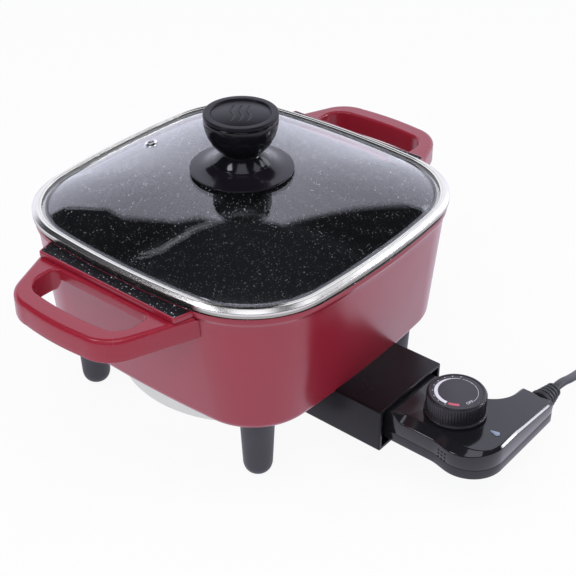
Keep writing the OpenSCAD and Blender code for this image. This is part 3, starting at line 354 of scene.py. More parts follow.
def turned(profile, centre=(0, 0), count=96):
    # a profile of radius and height goes round the upright axis through the centre
    profile = np.asarray(profile, float)
    a = np.linspace(0, 2 * pi, count, endpoint=False)
    r, z = profile[:, :1], profile[:, 1:]
    return np.stack([centre[0] + r * np.cos(a), centre[1] + r * np.sin(a), z + 0 * a], -1)


def insetPolygon(points, inset):
    # every edge moves inwards by the inset and is cut with its neighbours again
    edge = np.roll(points, -1, 0) - points
    out = np.stack([edge[:, 1], -edge[:, 0]], 1) / np.linalg.norm(edge, axis=1)[:, None]
    level = np.sum(points * out, 1) - inset
    was, last = np.roll(out, 1, 0), np.roll(level, 1)
    det = was[:, 0] * out[:, 1] - was[:, 1] * out[:, 0]
    x, y = last * out[:, 1] - level * was[:, 1], level * was[:, 0] - last * out[:, 0]
    return np.stack([x, y], 1) / det[:, None]


def roundCorners(points, radii, steps=6, closed=True):
    # a corner becomes a circular arc: a weighted blend of its two touch points and the corner itself
    points, radii = np.asarray(points, float), np.broadcast_to(radii, len(points))
    u, v = np.roll(points, 1, 0) - points, np.roll(points, -1, 0) - points
    lu, lv = np.linalg.norm(u, axis=1)[:, None], np.linalg.norm(v, axis=1)[:, None]
    u, v = u / lu, v / lv
    half = np.arccos(np.clip(np.sum(u * v, 1), -1, 1))[:, None] / 2
    run = np.minimum(radii[:, None] / np.tan(np.clip(half, 0.01, 1.57)), 0.48 * np.minimum(lu, lv))
    a, b, w = (points + u * run)[:, None], (points + v * run)[:, None], np.sin(half)[:, None]
    t = np.linspace(0, 1, steps + 1)[None, :, None]
    early, mid, late = (1 - t) ** 2, 2 * t * (1 - t) * w, t ** 2
    arcs = (early * a + mid * points[:, None] + late * b) / (early + mid + late)
    if closed:
        return arcs.reshape(-1, points.shape[1])
    return joined(points[0], arcs[1:-1].reshape(-1, points.shape[1]), points[-1])


def slab(points, radii, levels, steps):
    # a rounded outline at several levels, each with its inset from the full outline and its height
    p = np.asarray(points, float)
    a, b = p - np.roll(p, 1, 0), np.roll(p, -1, 0) - p
    sign = np.sign(a[:, 0] * b[:, 1] - a[:, 1] * b[:, 0])
    rings = [roundCorners(insetPolygon(p, e), np.maximum(radii - sign * e, 0.2), steps) for e, z in levels]
    return np.stack([levelled(ring, z) for ring, (e, z) in zip(rings, levels)])


def spline(points, steps):
    # a smooth line through all points: each span is the cubic whose slope at a point is half the chord
    # between that point's neighbours
    p = np.asarray(points, float)
    p = np.concatenate([2 * p[:1] - p[1:2], p, 2 * p[-1:] - p[-2:-1]])
    a, b, c, d = (p[k:len(p) - 3 + k, None] for k in range(4))
    t = np.linspace(0, 1, steps, endpoint=False)[None, :, None]
    bend, twist = 2 * a - 5 * b + 4 * c - d, 3 * b - a - 3 * c + d
    runs = 0.5 * (2 * b + (c - a) * t + bend * t ** 2 + twist * t ** 3)
    return joined(runs.reshape(-1, p.shape[1]), p[-2])


def alongPath(path, section):
    # a flat section is carried along a path with its wide side level
    path = np.asarray(path, float)
    ahead = np.gradient(path, axis=0)
    ahead /= np.linalg.norm(ahead, axis=1)[:, None]
    side = np.cross([0, 0, 1], ahead)
    side /= np.linalg.norm(side, axis=1)[:, None]
    up = np.cross(ahead, side)
    return path[:, None] + side[:, None] * section[None, :, :1] + up[:, None] * section[None, :, 1:]


def ovalSection(width, thick, square, sides):
    # a circle flattened to a width and a thickness, squarer than an ellipse where the power is above 2
    a = np.linspace(0, 2 * pi, sides, endpoint=False)
    across, up = (np.sign(v) * np.abs(v) ** (2 / square) for v in (np.cos(a), np.sin(a)))
    return np.stack([width / 2 * across, thick / 2 * up], -1)


# cord, coil, tie and plug come first

cordSize = dict(width=6.0, thick=4.4, square=2.4, sides=20)
cordRoute = [[71, -195.5, 36], [77, -195.5, 36], [84, -195.5, 34.6], [91, -195.5, 32.2], [98, -195.2, 29.8],
             [106, -194.6, 27.2], [114, -193.4, 24], [122, -192, 20.2], [131, -190, 15.4],
             [140, -187.8, 10.6], [149, -185.8, 6.6], [157, -184.5, 4], [162, -184, 3], [168, -184, 3]]
coil = dict(centre=(176, -222), radius=38, pitch=6.8, turns=3.5, low=3.0, step=5.1, lead=8)


def cordPath():
    # the drooping stretch, then turns that wind in on the table, climb a layer and wind out on top
    u = np.linspace(0, coil["turns"], int(coil["turns"] * 36) + 1)
    r = coil["radius"] - coil["pitch"] * np.minimum(u, coil["turns"] - u)
    a = pi / 2 - 2 * pi * u
    climb = smooth(2 * (u - coil["turns"] / 2) + 0.5)
    cx, cy = coil["centre"]
    wound = np.stack([cx + r * np.cos(a), cy + r * np.sin(a), coil["low"] + coil["step"] * climb], 1)
    last = (cx - coil["lead"], cy - coil["radius"], coil["low"] + coil["step"])
    return joined(spline(cordRoute, 6), wound, last)


def makeCord():
    # the cord's section along its path; the length is the sum of the path's steps
    path = cordPath()
    tube = shell(alongPath(path, ovalSection(**cordSize)))
    piece = addPiece("mainsCord", "control", [tube], jacket, ("cord", "cord_coil"), 50)
    return piece, path * mm, np.sum(np.linalg.norm(np.diff(path, axis=0), axis=1)) * mm


tie = dict(inner=22.7, outer=41.4, low=0.7, high=10.4, width=5.0, sheet=0.6, corner=3)


def makeTie():
    # a flat band: a rounded loop in the upright plane, given its sheet and its width
    x0, x1, z0, z1, s = tie["inner"], tie["outer"], tie["low"], tie["high"], tie["sheet"]
    loop = np.array([[x0, z0], [x1, z0], [x1, z1], [x0, z1]], float)
    ins = roundCorners(loop, tie["corner"], 8)
    outs = roundCorners(insetPolygon(loop, -s), tie["corner"] + s, 8)
    cx, cy = coil["centre"]
    rows = [(outs, -1), (outs, 1), (ins, 1), (ins, -1)]
    points = np.stack([np.insert(p + [cx, 0], 1, cy + side * tie["width"] / 2, axis=1) for p, side in rows])
    return addPiece("cordTie", "control", [shell(points, True)], tieBlack, ("cord_tie",))


plug = dict(start=(168, -260, 8.1), reliefLength=20, reliefRoot=3.8, reliefEnd=6.5, ribs=5, ribDepth=0.35,
            length=26, width=25, height=15, growth=0.28, endRound=0.8, endFrom=0.94, waist=1.6, waistAt=0.55,
            waistSpan=0.18, sides=48)
blade = dict(span=12.7, width=6.4, sheet=1.5, length=17.5, corner=0.25)


def makePlug():
    # rounded sections along the plug's axis: a ribbed cone that grows into the moulded body with a grip waist
    x0, y0, z0 = plug["start"]
    cone, long = plug["reliefLength"], plug["length"]
    run = np.concatenate([np.linspace(0, cone - 1, 41), cone + np.linspace(0, long, 30)])
    radius = plug["reliefRoot"] + (plug["reliefEnd"] - plug["reliefRoot"]) * np.clip(run / cone, 0, 1)
    radius = radius - plug["ribDepth"] * (np.cos(run / cone * 2 * pi * plug["ribs"]) > 0) * (run < cone - 1)
    s = np.clip((run - cone) / long, 0, 1)
    grow = smooth(s / plug["growth"]) * (run >= cone)
    ends = plug["endRound"] * smooth((s - plug["endFrom"]) / (1 - plug["endFrom"]))
    waist = plug["waist"] * np.exp(-((s - plug["waistAt"]) / plug["waistSpan"]) ** 2)
    wide = radius + (plug["width"] / 2 - radius) * grow - (ends + waist) * (grow > 0)
    high = radius + (plug["height"] / 2 - radius) * grow - ends * (grow > 0)
    flat = ovalSection(2 * wide[:, None], 2 * high[:, None], 2 + 4 * grow[:, None], plug["sides"])
    points = np.stack([x0 - run[:, None] + 0 * flat[..., 0], y0 + flat[..., 0], z0 + flat[..., 1]], -1)
    body = addPiece("plugBody", "control", [shell(points)], plugGrey, ("plug_body",), 40)
    # the blades: rounded strips whose tips shrink in two steps
    loop = np.array([[-1, -1], [1, -1], [1, 1], [-1, 1]]) * [blade["sheet"] / 2, blade["width"] / 2]
    start = x0 - cone - long
    rows = [(0.5, 0), (1.4 - blade["length"], 0), (0.4 - blade["length"], 0.25), (-blade["length"], 0.5)]
    rings = [roundCorners(insetPolygon(loop, e), blade["corner"], 3) for d, e in rows]
    blades = [shell(np.stack([np.insert(ring + [y0 + side * blade["span"] / 2, z0], 0, start + d, axis=1)
                              for ring, (d, e) in zip(rings, rows)])) for side in (-1, 1)]
    return body, addPiece("plugBlades", "control", blades, brass, ("plug_blades",))


mainsCord, cordLine, cordLength = makeCord()
cordTie = makeTie()
plugBody, plugBlades = makePlug()
print("cord laid, metres:", round(float(cordLength), 3))

# pan with its two ledges

pan = dict(rimHalf=109.6, lipHalf=110.5, floorHalf=99.4, rimCorner=61, floorCorner=42, bow=2.2, bottomZ=46.8,
           edgeRound=6, rimZ=134, lipLow=127.0, lipFull=130.6, lipRound=1.1, wall=4, mouth=0.1,
           mouthRound=0.9, floorZ=51.8, wellRound=12, underRows=(41, 24, 12, 6.7), lipHigh=1.2,
           rimOuter=0.5, rimInner=1.2, floorRows=(0.8, 10, 20, 27))
lipCorner = pan["rimCorner"] + pan["lipHalf"] - pan["rimHalf"]
ledge = dict(root=109.8, rootHalf=58.5, outer=121.5, half=55.5, inner=104, low=129.6, top=133.1, edge=0.8,
             bare=1.3, corners=(0.5, 1.0, 2.0, 2.0, 1.0, 0.5))


def wallAt(z):
    # half width and corner of the outer wall grow evenly from the bottom edge to the rim
    low = pan["bottomZ"] + pan["edgeRound"]
    share = (np.asarray(z, float) - low) / (pan["rimZ"] - low)
    return (pan["floorHalf"] + (pan["rimHalf"] - pan["floorHalf"]) * share,
            pan["floorCorner"] + (pan["rimCorner"] - pan["floorCorner"]) * share)


def insetRows(half, corner, run):
    # rows of half, corner and height from a run of insets and heights
    run = np.asarray(run, float)
    return np.column_stack([half - run[:, 0], corner - run[:, 0], run[:, 1]])


def panRows():
    # underside, bottom edge, wall, swelling lip, rim, inner wall, well edge and floor, as rows of half,
    # corner and height
    e, r, low, rimZ, mouth = (pan[k] for k in ("edgeRound", "lipRound", "bottomZ", "rimZ", "mouthRound"))
    floorEdge = pan["floorHalf"], pan["floorCorner"]
    rim = np.array([pan["rimHalf"], pan["rimCorner"]])
    wallZ = np.linspace(low + e, pan["lipLow"], 18)[1:]
    lipZ = np.linspace(pan["lipLow"], pan["lipFull"], 9)[1:]
    half, corner = wallAt(lipZ)
    out = (pan["lipHalf"] - half) * smooth((lipZ - pan["lipLow"]) / (pan["lipFull"] - pan["lipLow"]))
    outside = joined(insetRows(*floorEdge, [(d, low) for d in pan["underRows"]]),
                     insetRows(*floorEdge, arc((e, low + e), e, -90, -180, 9)),
                     np.column_stack([*wallAt(wallZ), wallZ]),
                     np.column_stack([half + out, corner + out, lipZ]),
                     (pan["lipHalf"], lipCorner, pan["lipFull"] + pan["lipHigh"]))
    w, wellZ = pan["wellRound"], pan["floorZ"] + pan["wellRound"]
    inner = np.array([*(rim - pan["wall"] - pan["mouth"]), rimZ - mouth])
    well = np.array([*wallAt(wellZ), wellZ]) - [pan["wall"], pan["wall"], 0]
    turnIn = pan["wall"] + pan["mouth"] - mouth
    inside = joined(insetRows(pan["lipHalf"], lipCorner, arc((r, rimZ - r), r, 180, 90, 5)),
                    insetRows(*rim, [(pan["rimOuter"], rimZ), (pan["wall"] - pan["rimInner"], rimZ)]),
                    insetRows(*rim, arc((turnIn, rimZ - mouth), mouth, 90, 0, 5)),
                    np.linspace(inner, well, 14)[1:],
                    insetRows(*well[:2], arc((w, wellZ), w, 180, 270, 9)[1:]),
                    insetRows(*well[:2], [(w + d, pan["floorZ"]) for d in pan["floorRows"]]))
    return joined(outside, inside), len(outside) + 1


def makePan():
    # the rows go round as bowed squares, red outside and flecked inside, and two ledges lie beside the rim
    rows, red = panRows()
    points = squareRows(rows[:, 0], rows[:, 1], pan["bow"], rows[:, 2])
    body = shell(points)
    cols = points.shape[1]
    body["picks"][red * cols:(len(rows) - 1) * cols] = 1
    body["picks"][-1] = 1
    shells = [body]
    x0, x1, x2, y1, y2 = (ledge[k] for k in ("inner", "root", "outer", "rootHalf", "half"))
    outline = [[x0, -y1], [x1, -y1], [x2, -y2], [x2, y2], [x1, y1], [x0, y1]]
    e, low, top = ledge["edge"], ledge["low"], ledge["top"]
    levels = joined((0.4, low), (0, low + 0.4), arc((e, top - e), e, 180, 90, 5), (e + 0.2, top),
                    (ledge["bare"], top))
    for side in (1, -1):
        one = shell(slab(outline, ledge["corners"], levels, 5) * [side, side, 1])
        one["picks"][-1] = 2
        shells.append(one)
    addPiece("pan", "skillet", shells, [redEnamel, wellGranite, ledgeGranite], ("pan",), 40)


makePan()
print("pan made")

# handles

handle = dict(top=129.5, bottom=114.5, rootHalf=61, cornerRadius=24, cornerX=137.5, cornerY=23.5, bow=1.5,
              gapX=124, gapOut=148.5, gapHalf=38.8, gapInnerRadius=5, gapOuterRadius=14, barZ=122.3, edge=3,
              gapEdge=1.8, lowEdge=1.2, clear=0.3, lipFrom=127.9, sight=90, barCount=20)


def rootX(y, z):
    # where the pan's wall, or its lip, passes a given y at a height
    half, corner = wallAt(z) if z < handle["lipFrom"] else (pan["lipHalf"], lipCorner)
    ring = squareRows(half, corner, pan["bow"], z)[0]
    ring = ring[(ring[:, 0] > 0) & (np.abs(ring[:, 1]) < handle["sight"])]
    ring = ring[np.argsort(ring[:, 1])]
    return np.interp(y, ring[:, 1], ring[:, 0]) + handle["clear"]


def mirrorLoop(*parts):
    # a half loop from the pan to the grip's middle is joined to its mirror image, which runs back
    half = joined(*parts)
    return joined(half * [1, -1], half[-2:0:-1])


def gripLine(x, y):
    # the grip's side bows out by a parabola towards the middle
    f = np.linspace(1, 0, 9)[1:]
    return np.stack([x + handle["bow"] * (1 - f ** 2), y * f], 1)


def handleLoop(z, inset):
    # along the pan, out on the straight line that touches the corner arc, round the corner and along the
    # bowed grip
    y = np.linspace(0, handle["rootHalf"] - inset, 15)
    rootLine = np.stack([rootX(y, z), y], 1)
    r, c = handle["cornerRadius"] - inset, np.array([handle["cornerX"], handle["cornerY"]])
    d = rootLine[-1] - c
    t = np.arctan2(d[1], d[0]) - np.arccos(r / np.hypot(*d))
    tip = c + r * np.array([np.cos(t), np.sin(t)])
    arm = np.linspace(rootLine[-1], tip, 8)[1:-1]
    return mirrorLoop(rootLine, arm, arc(c, r, np.degrees(t), 0, 18), gripLine(c[0] + r, c[1]))


def gapLoop(inset):
    # the finger gap in the same order: along the bar, round its corner, across, round the outer corner
    # and along the grip
    x0, x1, y1 = handle["gapX"] + inset, handle["gapOut"] - inset, handle["gapHalf"] - inset
    r0, r1 = handle["gapInnerRadius"] - inset, handle["gapOuterRadius"] - inset
    bar = np.linspace((x0, 0), (x0, y1 - r0), 15)
    return mirrorLoop(bar, arc((x0 + r0, y1 - r0), r0, 180, 90, 8)[1:-1],
                      arc((x1 - r1, y1 - r1), r1, 90, 0, 18), gripLine(x1, y1 - r1))


def makeHandle(name, node, side):
    # rings go up the outside, over the rounded top and down the gap, and the thin bar beside the pan
    # ends higher
    top, low, e, g, q = (handle[k] for k in ("top", "bottom", "edge", "gapEdge", "lowEdge"))
    outer = joined(arc((q, low + q), q, -90, -180, 4), np.linspace((0, low + q), (0, top - e), 4)[1:-1],
                   arc((e, top - e), e, 180, 90, 7), (e + 0.4, top))
    inner = joined((-g - 0.3, top), arc((-g, top - g), g, 90, 0, 7),
                   np.linspace((0, top - g), (0, low + q), 4)[1:], arc((-q, low + q), q, -15, -75, 3))
    loops = [(handleLoop(z, i), z) for i, z in outer] + [(gapLoop(i), z) for i, z in inner]
    points = np.stack([levelled(loop, z) for loop, z in loops])
    count = points.shape[1]
    order = np.minimum(np.arange(count), count - np.arange(count))
    share = smooth((handle["gapHalf"] - np.abs(points[..., 1])) / handle["gapInnerRadius"])
    floorZ = low + (handle["barZ"] - low) * np.where(order[None] <= handle["barCount"], share, 0)
    points[..., 2] = top - (top - points[..., 2]) * (top - floorZ) / (top - low)
    addPiece(name, "skillet", [shell(points * [side, side, 1], True)], redPlastic, (node,), 40)


makeHandle("leftHandle", "left_handle", -1)
makeHandle("rightHandle", "right_handle", 1)
print("handles made")

# feet, bottom cover and guard

foot = dict(place=72.4, top=11.2, low=9.4, roundWide=4.6, roundHigh=8.0, height=46.7, recess=4.2,
            recessDepth=10)


def makeFeet():
    # a turned post: recess in the sole, a quarter ellipse at the lower edge, straight taper up to the pan
    w, h, recess, deep = foot["roundWide"], foot["roundHigh"], foot["recess"], foot["recessDepth"]
    profile = joined((needle, deep), (recess - 0.3, deep), (recess, deep - 0.3), (recess, 0.4),
                     (recess + 0.4, 0), arc((foot["low"] - w, h), (w, h), -90, 0, 13),
                     np.linspace((foot["low"], h), (foot["top"], foot["height"]), 6)[1:],
                     (foot["top"] - 0.4, foot["height"]), (needle, foot["height"]))
    for row, y in (("front", -1), ("back", 1)):
        for side, x in (("left", -1), ("right", 1)):
            post = turned(profile, (x * foot["place"], y * foot["place"]))
            addPiece(row + side.capitalize() + "Foot", "skillet", [shell(post)], postBlack,
                     (row + "_" + side + "_foot",))


cover = dict(radius=85.5, low=20.4, top=46.7, rounding=5, sheet=1.2, brim=0.3, flat=40, mid=36, notchHalf=19,
             notchZ=29.5)


def makeCover():
    # a pressed dish, out over its floor, up the wall and back down inside, notched for the element's ends
    r, s, q, low, top, b = (cover[k] for k in ("radius", "sheet", "rounding", "low", "top", "brim"))
    profile = joined((needle, low), (cover["flat"], low), arc((r - q, low + q), q, -90, 0, 11),
                     (r, cover["mid"]), (r, top - b), (r - b, top), (r - s + b, top), (r - s, top - b),
                     (r - s, cover["mid"]), arc((r - q, low + q), q - s, 0, -90, 11),
                     (cover["flat"], low + s), (needle, low + s))
    dish = shell(turned(profile, count=180))
    quads = dish["blocks"][0]
    middle = dish["points"][quads].mean(1)
    keep = (np.abs(middle[:, 0]) > cover["notchHalf"]) | (middle[:, 1] > 0) | (middle[:, 2] < cover["notchZ"])
    dish["blocks"][0] = quads[keep]
    dish["picks"] = dish["picks"][:sum(len(b) for b in dish["blocks"])]
    addPiece("bottomCover", "skillet", [dish], pressedAlloy, ("bottom_cover",))


guard = dict(half=32, low=20.7, top=51.3, wall=2.5, front=-135.2, wallY=-98, back=-76, under=46.5, roof=0.2,
             corner=1.6, leastCorner=0.7, edge=0.7, lip=0.4, outY=-110, inY=(-133, -106, -104))


def makeGuard():
    # a rounded box section along Y: out of the pan, over its front edge and back inside
    half, low, top, under, front, back = (guard[k] for k in ("half", "low", "top", "under", "front", "back"))
    e, w, k, roof = guard["edge"], guard["wall"], guard["lip"], guard["under"] - guard["roof"]
    near, mid, far = guard["inY"]
    # rows of inset, place along Y and height of the box
    rows = joined((0, back, under), (0, guard["wallY"] + 0.1, under), (0, guard["wallY"], top),
                  (0, guard["outY"], top), (0, front + e + 0.5, top),
                  levelled(arc((e, front + e), e, 180, 270, 5), top),
                  levelled(arc((w - k, front + k), k, -90, 0, 3), top),
                  (w, near, top), (w, mid, top), (w, far, roof), (w, back, roof))
    rings = []
    for inset, y, z in rows:
        loop = np.array([[-half, low], [half, low], [half, z], [-half, z]])
        ring = roundCorners(insetPolygon(loop, inset), max(guard["corner"] - inset, guard["leastCorner"]), 6)
        rings.append(np.insert(ring, 1, y, axis=1))
    box = shell(np.stack(rings), True)
    addPiece("terminalGuard", "skillet", [box], satinBlack, ("guard",))


makeFeet()
makeCover()
makeGuard()
print("feet, bottom cover and guard made")

# lid: rim band, glass, eyelet

# the groove's corners are given by their distance in from the edge and down from the top
lid = dict(half=110, corner=57, bow=2.4, low=134.3, top=139.55, lip=5.1, crown=2.3, facet=0.75, drop=0.62,
           side=3.0, groove=((3.75, 0.32), (3.82, 0.6), (4.08, 0.64), (4.15, 0.41)), fold=0.3, satinRows=11,
           rounds=(0, 0.4, 0.5, 0.04, 0.04, 0.04, 0.04, 0.15, 0), skirtHalf=104, skirt=4.0, sheet=0.9,
           glassLow=135.3, glassThick=3.2, glassIn=1.1, bend=11, bendRise=1.9, domeRise=16.5, padHalf=17,
           riser=0.55, riserEnd=102.2, blend=0.3)


def lidRows(profile):
    # the lid's outline shrunk towards its middle, for a profile of half width and height
    half = profile[:, 0]
    share = half / lid["half"]
    return squareRows(half, lid["corner"] * share, lid["bow"] * share, profile[:, 1])


def makeRim():
    # a folded band: skirt inside the pan, flat seat, upright side, sloping facet and a grooved lip that falls
    # towards the glass; the faces from the lip's fold round under the band are a darker steel, painted shade
    h, z0, z1, s, c, k, lip = (lid[v] for v in ("half", "low", "top", "sheet", "crown", "skirtHalf", "lip"))
    corners = joined((0, lid["side"]), (0, lid["facet"] * c), (c, 0), lid["groove"], (lip, lid["drop"]),
                     (lip, lid["drop"] + lid["fold"]))
    over = roundCorners([h, z1] - corners, lid["rounds"], 6, False)
    under = [[h - s, z1 - s - 1.9], [h - s, z0 + s], [k - s, z0 + s], [k - s, z0 - lid["skirt"]],
             [k, z0 - lid["skirt"]], [k, z0], [h - 0.6, z0], [h, z0 + 0.6]]
    rows = lidRows(joined(over, under))
    band = shell(rows, True)
    row = np.arange(len(rows))
    # rows from the lip's fold on are painted shade in darker steel; the side's first rows are satin
    pick = np.where(row >= len(over) - 1, 1, np.where(row < lid["satinRows"], 2, 0))
    band["picks"] = np.repeat(pick, rows.shape[1])
    addPiece("lidRim", "lid", [band], [rimSteel, rimPaintedShade, rimSatin], ("lid_rim",), 40)


def crownZ(half):
    # a parabola round a level pad in the middle, cut by a straight riser and by the flat edge under the
    # rim, each cut softened: half the sum, less or plus half the root of the squared difference and the
    # squared blend
    inner = np.maximum(0, (half - lid["padHalf"]) / (lid["half"] - lid["bend"] - lid["padHalf"]))
    dome = lid["bendRise"] + lid["domeRise"] * (1 - inner ** 2)
    riser = lid["riser"] * (lid["riserEnd"] - half)
    low = (dome + riser - np.sqrt((dome - riser) ** 2 + lid["blend"] ** 2)) / 2
    return lid["glassLow"] + lid["glassThick"] + (low + np.sqrt(low ** 2 + lid["blend"] ** 2)) / 2


def makeGlassSheet():
    # the underside from the middle outwards, round the edge, and the upper side back in
    pad, (bend, lip, edge) = lid["padHalf"], (lid["half"] - lid[k] for k in ("bend", "lip", "glassIn"))
    halves = np.concatenate([np.linspace(0.5, pad, 6), np.linspace(pad, bend, 22)[1:],
                             np.linspace(bend, lip, 25)[1:], [edge]])
    high = np.stack([halves, crownZ(halves)], 1)
    profile = joined(high - [0, lid["glassThick"]], high[::-1])
    addPiece("lidGlass", "lid", [shell(lidRows(profile))], clearGlass, ("lid_glass",), 40)


eyelet = dict(y=80, radius=4.5, hole=2.3, bore=3.3, thick=1.0, deep=4.2)


def makeEyelet():
    # a rolled ring on the glass with a disc of painted shade down its hole, tilted with the dome
    y0, r, hole, bore, deep = (eyelet[k] for k in ("y", "radius", "hole", "bore", "deep"))
    share = 1 + lid["bow"] / lid["half"]
    z0, slope = crownZ(y0 / share), crownZ((y0 - 0.5) / share) - crownZ((y0 + 0.5) / share)
    roll = arc(((r + hole) / 2, 0.05), ((r - hole) / 2, eyelet["thick"]), 0, 180, 13)
    profile = joined((hole + 0.2, -deep), (r, -deep), (r - 0.4, 0.9 - deep), (bore, 1 - deep), (bore, 0),
                     roll, (hole, 0.2 - deep))
    # a near-black disc down the hole: painted shade
    dark = [(needle, -1.2), (hole + 0.3, -1.2), (hole + 0.3, -0.6), (needle, -0.6)]
    shells = [shell(turned(profile, count=48), True), shell(turned(dark, count=32), picks=1)]
    for part in shells:
        x, y, z = part["points"].T
        part["points"] = np.stack([x, y0 + y, z0 + z - slope * y], 1)
    addPiece("steamEyelet", "lid", shells, [chrome, paintedHoleShade], ("steam_eyelet",))


makeRim()
makeGlassSheet()
makeEyelet()
print("lid made")

# knob, with its profiles as radius and height

knob = dict(low=157.0, top=195.5, shieldRadius=32.8, foot=160.4, seat=192.7, radius=23.3, ringHeight=2.65,
            ringRounds=(0.1, 0.3, 0.3, 1.8, 0.25, 0.25), capRadius=18.4, capDrop=0.9, count=128,
            flare=[(32.8, 158.2), (32.4, 158.6), (30.0, 159.0), (27.0, 159.5), (24.2, 160.3), (21.8, 161.4),
                   (20.1, 162.4), (18.9, 163.1)],
            line=[(19.2, 160.4), (19.4, 162.5), (17.6, 164.1), (15.8, 165.8), (14.2, 167.5), (13.2, 168.8),
                  (12.9, 169.7), (14.1, 171.0), (16.0, 172.9), (17.9, 175.1), (19.6, 177.8), (21.1, 180.8),
                  (22.3, 184.2), (23.0, 187.6), (23.2, 190.4), (23.1, 192.1), (22.7, 192.7)])
ridge = dict(half=12.0, apart=5.0, sway=1.3, bends=1.2, width=1.7, high=0.7, turn=40, sides=10, steps=41)


def makeKnob():
    # turned pieces: a thin dished shield, a waisted body, a ring on its top and a sunk cap with three
    # wavy ridges
    z0, wide, count = knob["low"], knob["shieldRadius"], knob["count"]
    flare = spline(knob["flare"], 5)
    profile = joined((needle, z0), (12, z0), (wide - 0.3, z0 + 0.45), (wide, z0 + 0.75), flare,
                     (needle, flare[-1, 1]))
    shield = shell(turned(profile, count=count))
    addPiece("knobShield", "lid", [shield], shieldBlack, ("knob_shield",))
    profile = joined((needle, knob["foot"]), spline(knob["line"], 5), (needle, knob["seat"]))
    body = shell(turned(profile, count=count))
    addPiece("knobBody", "lid", [body], knobBlack, ("knob_body",), 50)
    z2, r, c = knob["top"], knob["radius"], knob["capRadius"]
    z1, capZ = z2 - knob["ringHeight"], z2 - knob["capDrop"]
    corners = [(c + 0.1, z1), (r - 0.7, z1), (r, z1 + 0.6), (r, z2), (c + 0.7, z2), (c + 0.1, z2 - 0.7)]
    ring = shell(turned(roundCorners(corners, knob["ringRounds"], 8), count=count), True)
    addPiece("knobRing", "lid", [ring], capBlack, ("knob_ring",), 40)
    shells = [shell(turned([(needle, z1), (c, z1), (c, capZ), (c - 0.2, capZ + 0.1), (needle, capZ + 0.1)]))]
    # a ridge sways by a sine along its run, turned as a whole, and shrinks to nothing at both ends
    t = np.linspace(-1, 1, ridge["steps"])
    bead = ovalSection(ridge["width"], ridge["high"], 2, ridge["sides"])
    a = np.radians(ridge["turn"])
    turn = np.array([[np.cos(a), np.sin(a)], [-np.sin(a), np.cos(a)]])
    for k in (-1, 0, 1):
        across = ridge["apart"] * k + ridge["sway"] * np.sin(ridge["bends"] * pi * t)
        wave = levelled(np.stack([ridge["half"] * t, across], 1) @ turn, capZ + 0.05)
        full = alongPath(wave, bead) - wave[:, None]
        shells.append(shell(wave[:, None] + full * np.sqrt(1 - 0.98 * t ** 8)[:, None, None]))
    addPiece("knobCap", "lid", shells, capBlack, ("knob_cap",), 40)


makeKnob()
print("knob made")

# heat control: two shells, lens, vents and strain relief

control = dict(low=26, split=33, top=46, half=24.3, bulge=2.6, bulgeY=-167, front=-204.8, nose=-112.2,
               noseRound=1.2, armEnd=55, armWidth=23, corner=22.2, fillet=22.5, small=2.2, unit=2.0,
               lowRound=0.9, collar=1.8, collarY=-138, collarRun=7, fallX=10, fall=4.0)
# shoulder: inset and drop of the sloping band at the collar, along the flank, and along the cord arm
shoulder = dict(collar=(0.6, 0.6), flank=(6.2, 3.4), arm=(1.6, 1.6))


def flankX(y):
    # the left flank runs straight and then swells into the big corner
    c = control
    return -c["half"] - c["bulge"] * smooth((c["bulgeY"] - y) / (c["bulgeY"] - c["front"] - c["corner"]))


def flankY():
    # points along the left flank, from the nose to the big corner
    return np.linspace(control["nose"] - 4, control["front"] + control["corner"] + 1, 40)


def controlRing(e):
    # anticlockwise from the nose: the left flank, the big corner arc, the cord arm and its hollow arc,
    # moved in by e
    c, k, half, front, n = control, control["small"], control["half"], control["front"], control["noseRound"]
    big = (-half - c["bulge"] + c["corner"], front + c["corner"])
    armY = front + c["armWidth"]
    hollow = (half + c["fillet"], armY + c["fillet"])
    y, noseY, noseR = flankY(), c["nose"] - n, n - min(e, 1.0)
    r = max(k - e, 0.2)
    endX = c["armEnd"] - e - r
    return joined(arc((n - half, noseY), noseR, 90, 180, 5), np.stack([flankX(y) + e, y], 1),
                  arc(big, c["corner"] - e, 181, 270, 40),
                  np.linspace((big[0], front + e), (c["armEnd"] - k, front + e), 14)[1:-1],
                  arc((endX, front + e + r), r, 270, 360, 6), arc((endX, armY - e - r), r, 0, 90, 6),
                  arc(hollow, c["fillet"] + e, 270, 180, 30),
                  np.linspace((half - e, hollow[1] + 4), (half - e, c["nose"] - 4), 8),
                  arc((half - n, noseY), noseR, 0, 90, 5))


def pastCollar(y):
    # 0 in the collar beside the guard and 1 beyond it
    return smooth((control["collarY"] - y) / control["collarRun"])


def shoulderAlong(part):
    # inset or drop of the shoulder along the outline: it starts beside the collar and narrows round the
    # big corner; the counts of points are those of the outline's stretches
    near, mid, far = shoulder["collar"][part], shoulder["flank"][part], shoulder["arm"][part]
    flank = near + (mid - near) * pastCollar(flankY())
    corner = mid + (far - mid) * smooth(np.linspace(0, 1.25, 40))
    back = np.linspace(far, near, 30)
    return np.concatenate([np.full(5, near), flank, corner, np.full(24, far), back, np.full(13, near)])


def topAlong(ring):
    # the top is level round the dial, a little higher at the collar and falls evenly along the cord arm
    c = control
    along = np.clip((ring[:, 0] - c["fallX"]) / (c["armEnd"] - c["fallX"]), 0, 1)
    return c["top"] + c["collar"] * (1 - pastCollar(ring[:, 1])) - c["fall"] * along


def controlSlab(levels):
    # each level has its height and its inset, as one number or as one for every point of the outline
    outer, inner = controlRing(0), controlRing(control["unit"])
    step = (inner - outer) / control["unit"]
    return shell(np.stack([levelled(outer + step * np.reshape(e, (-1, 1)), z) for z, e in levels]))


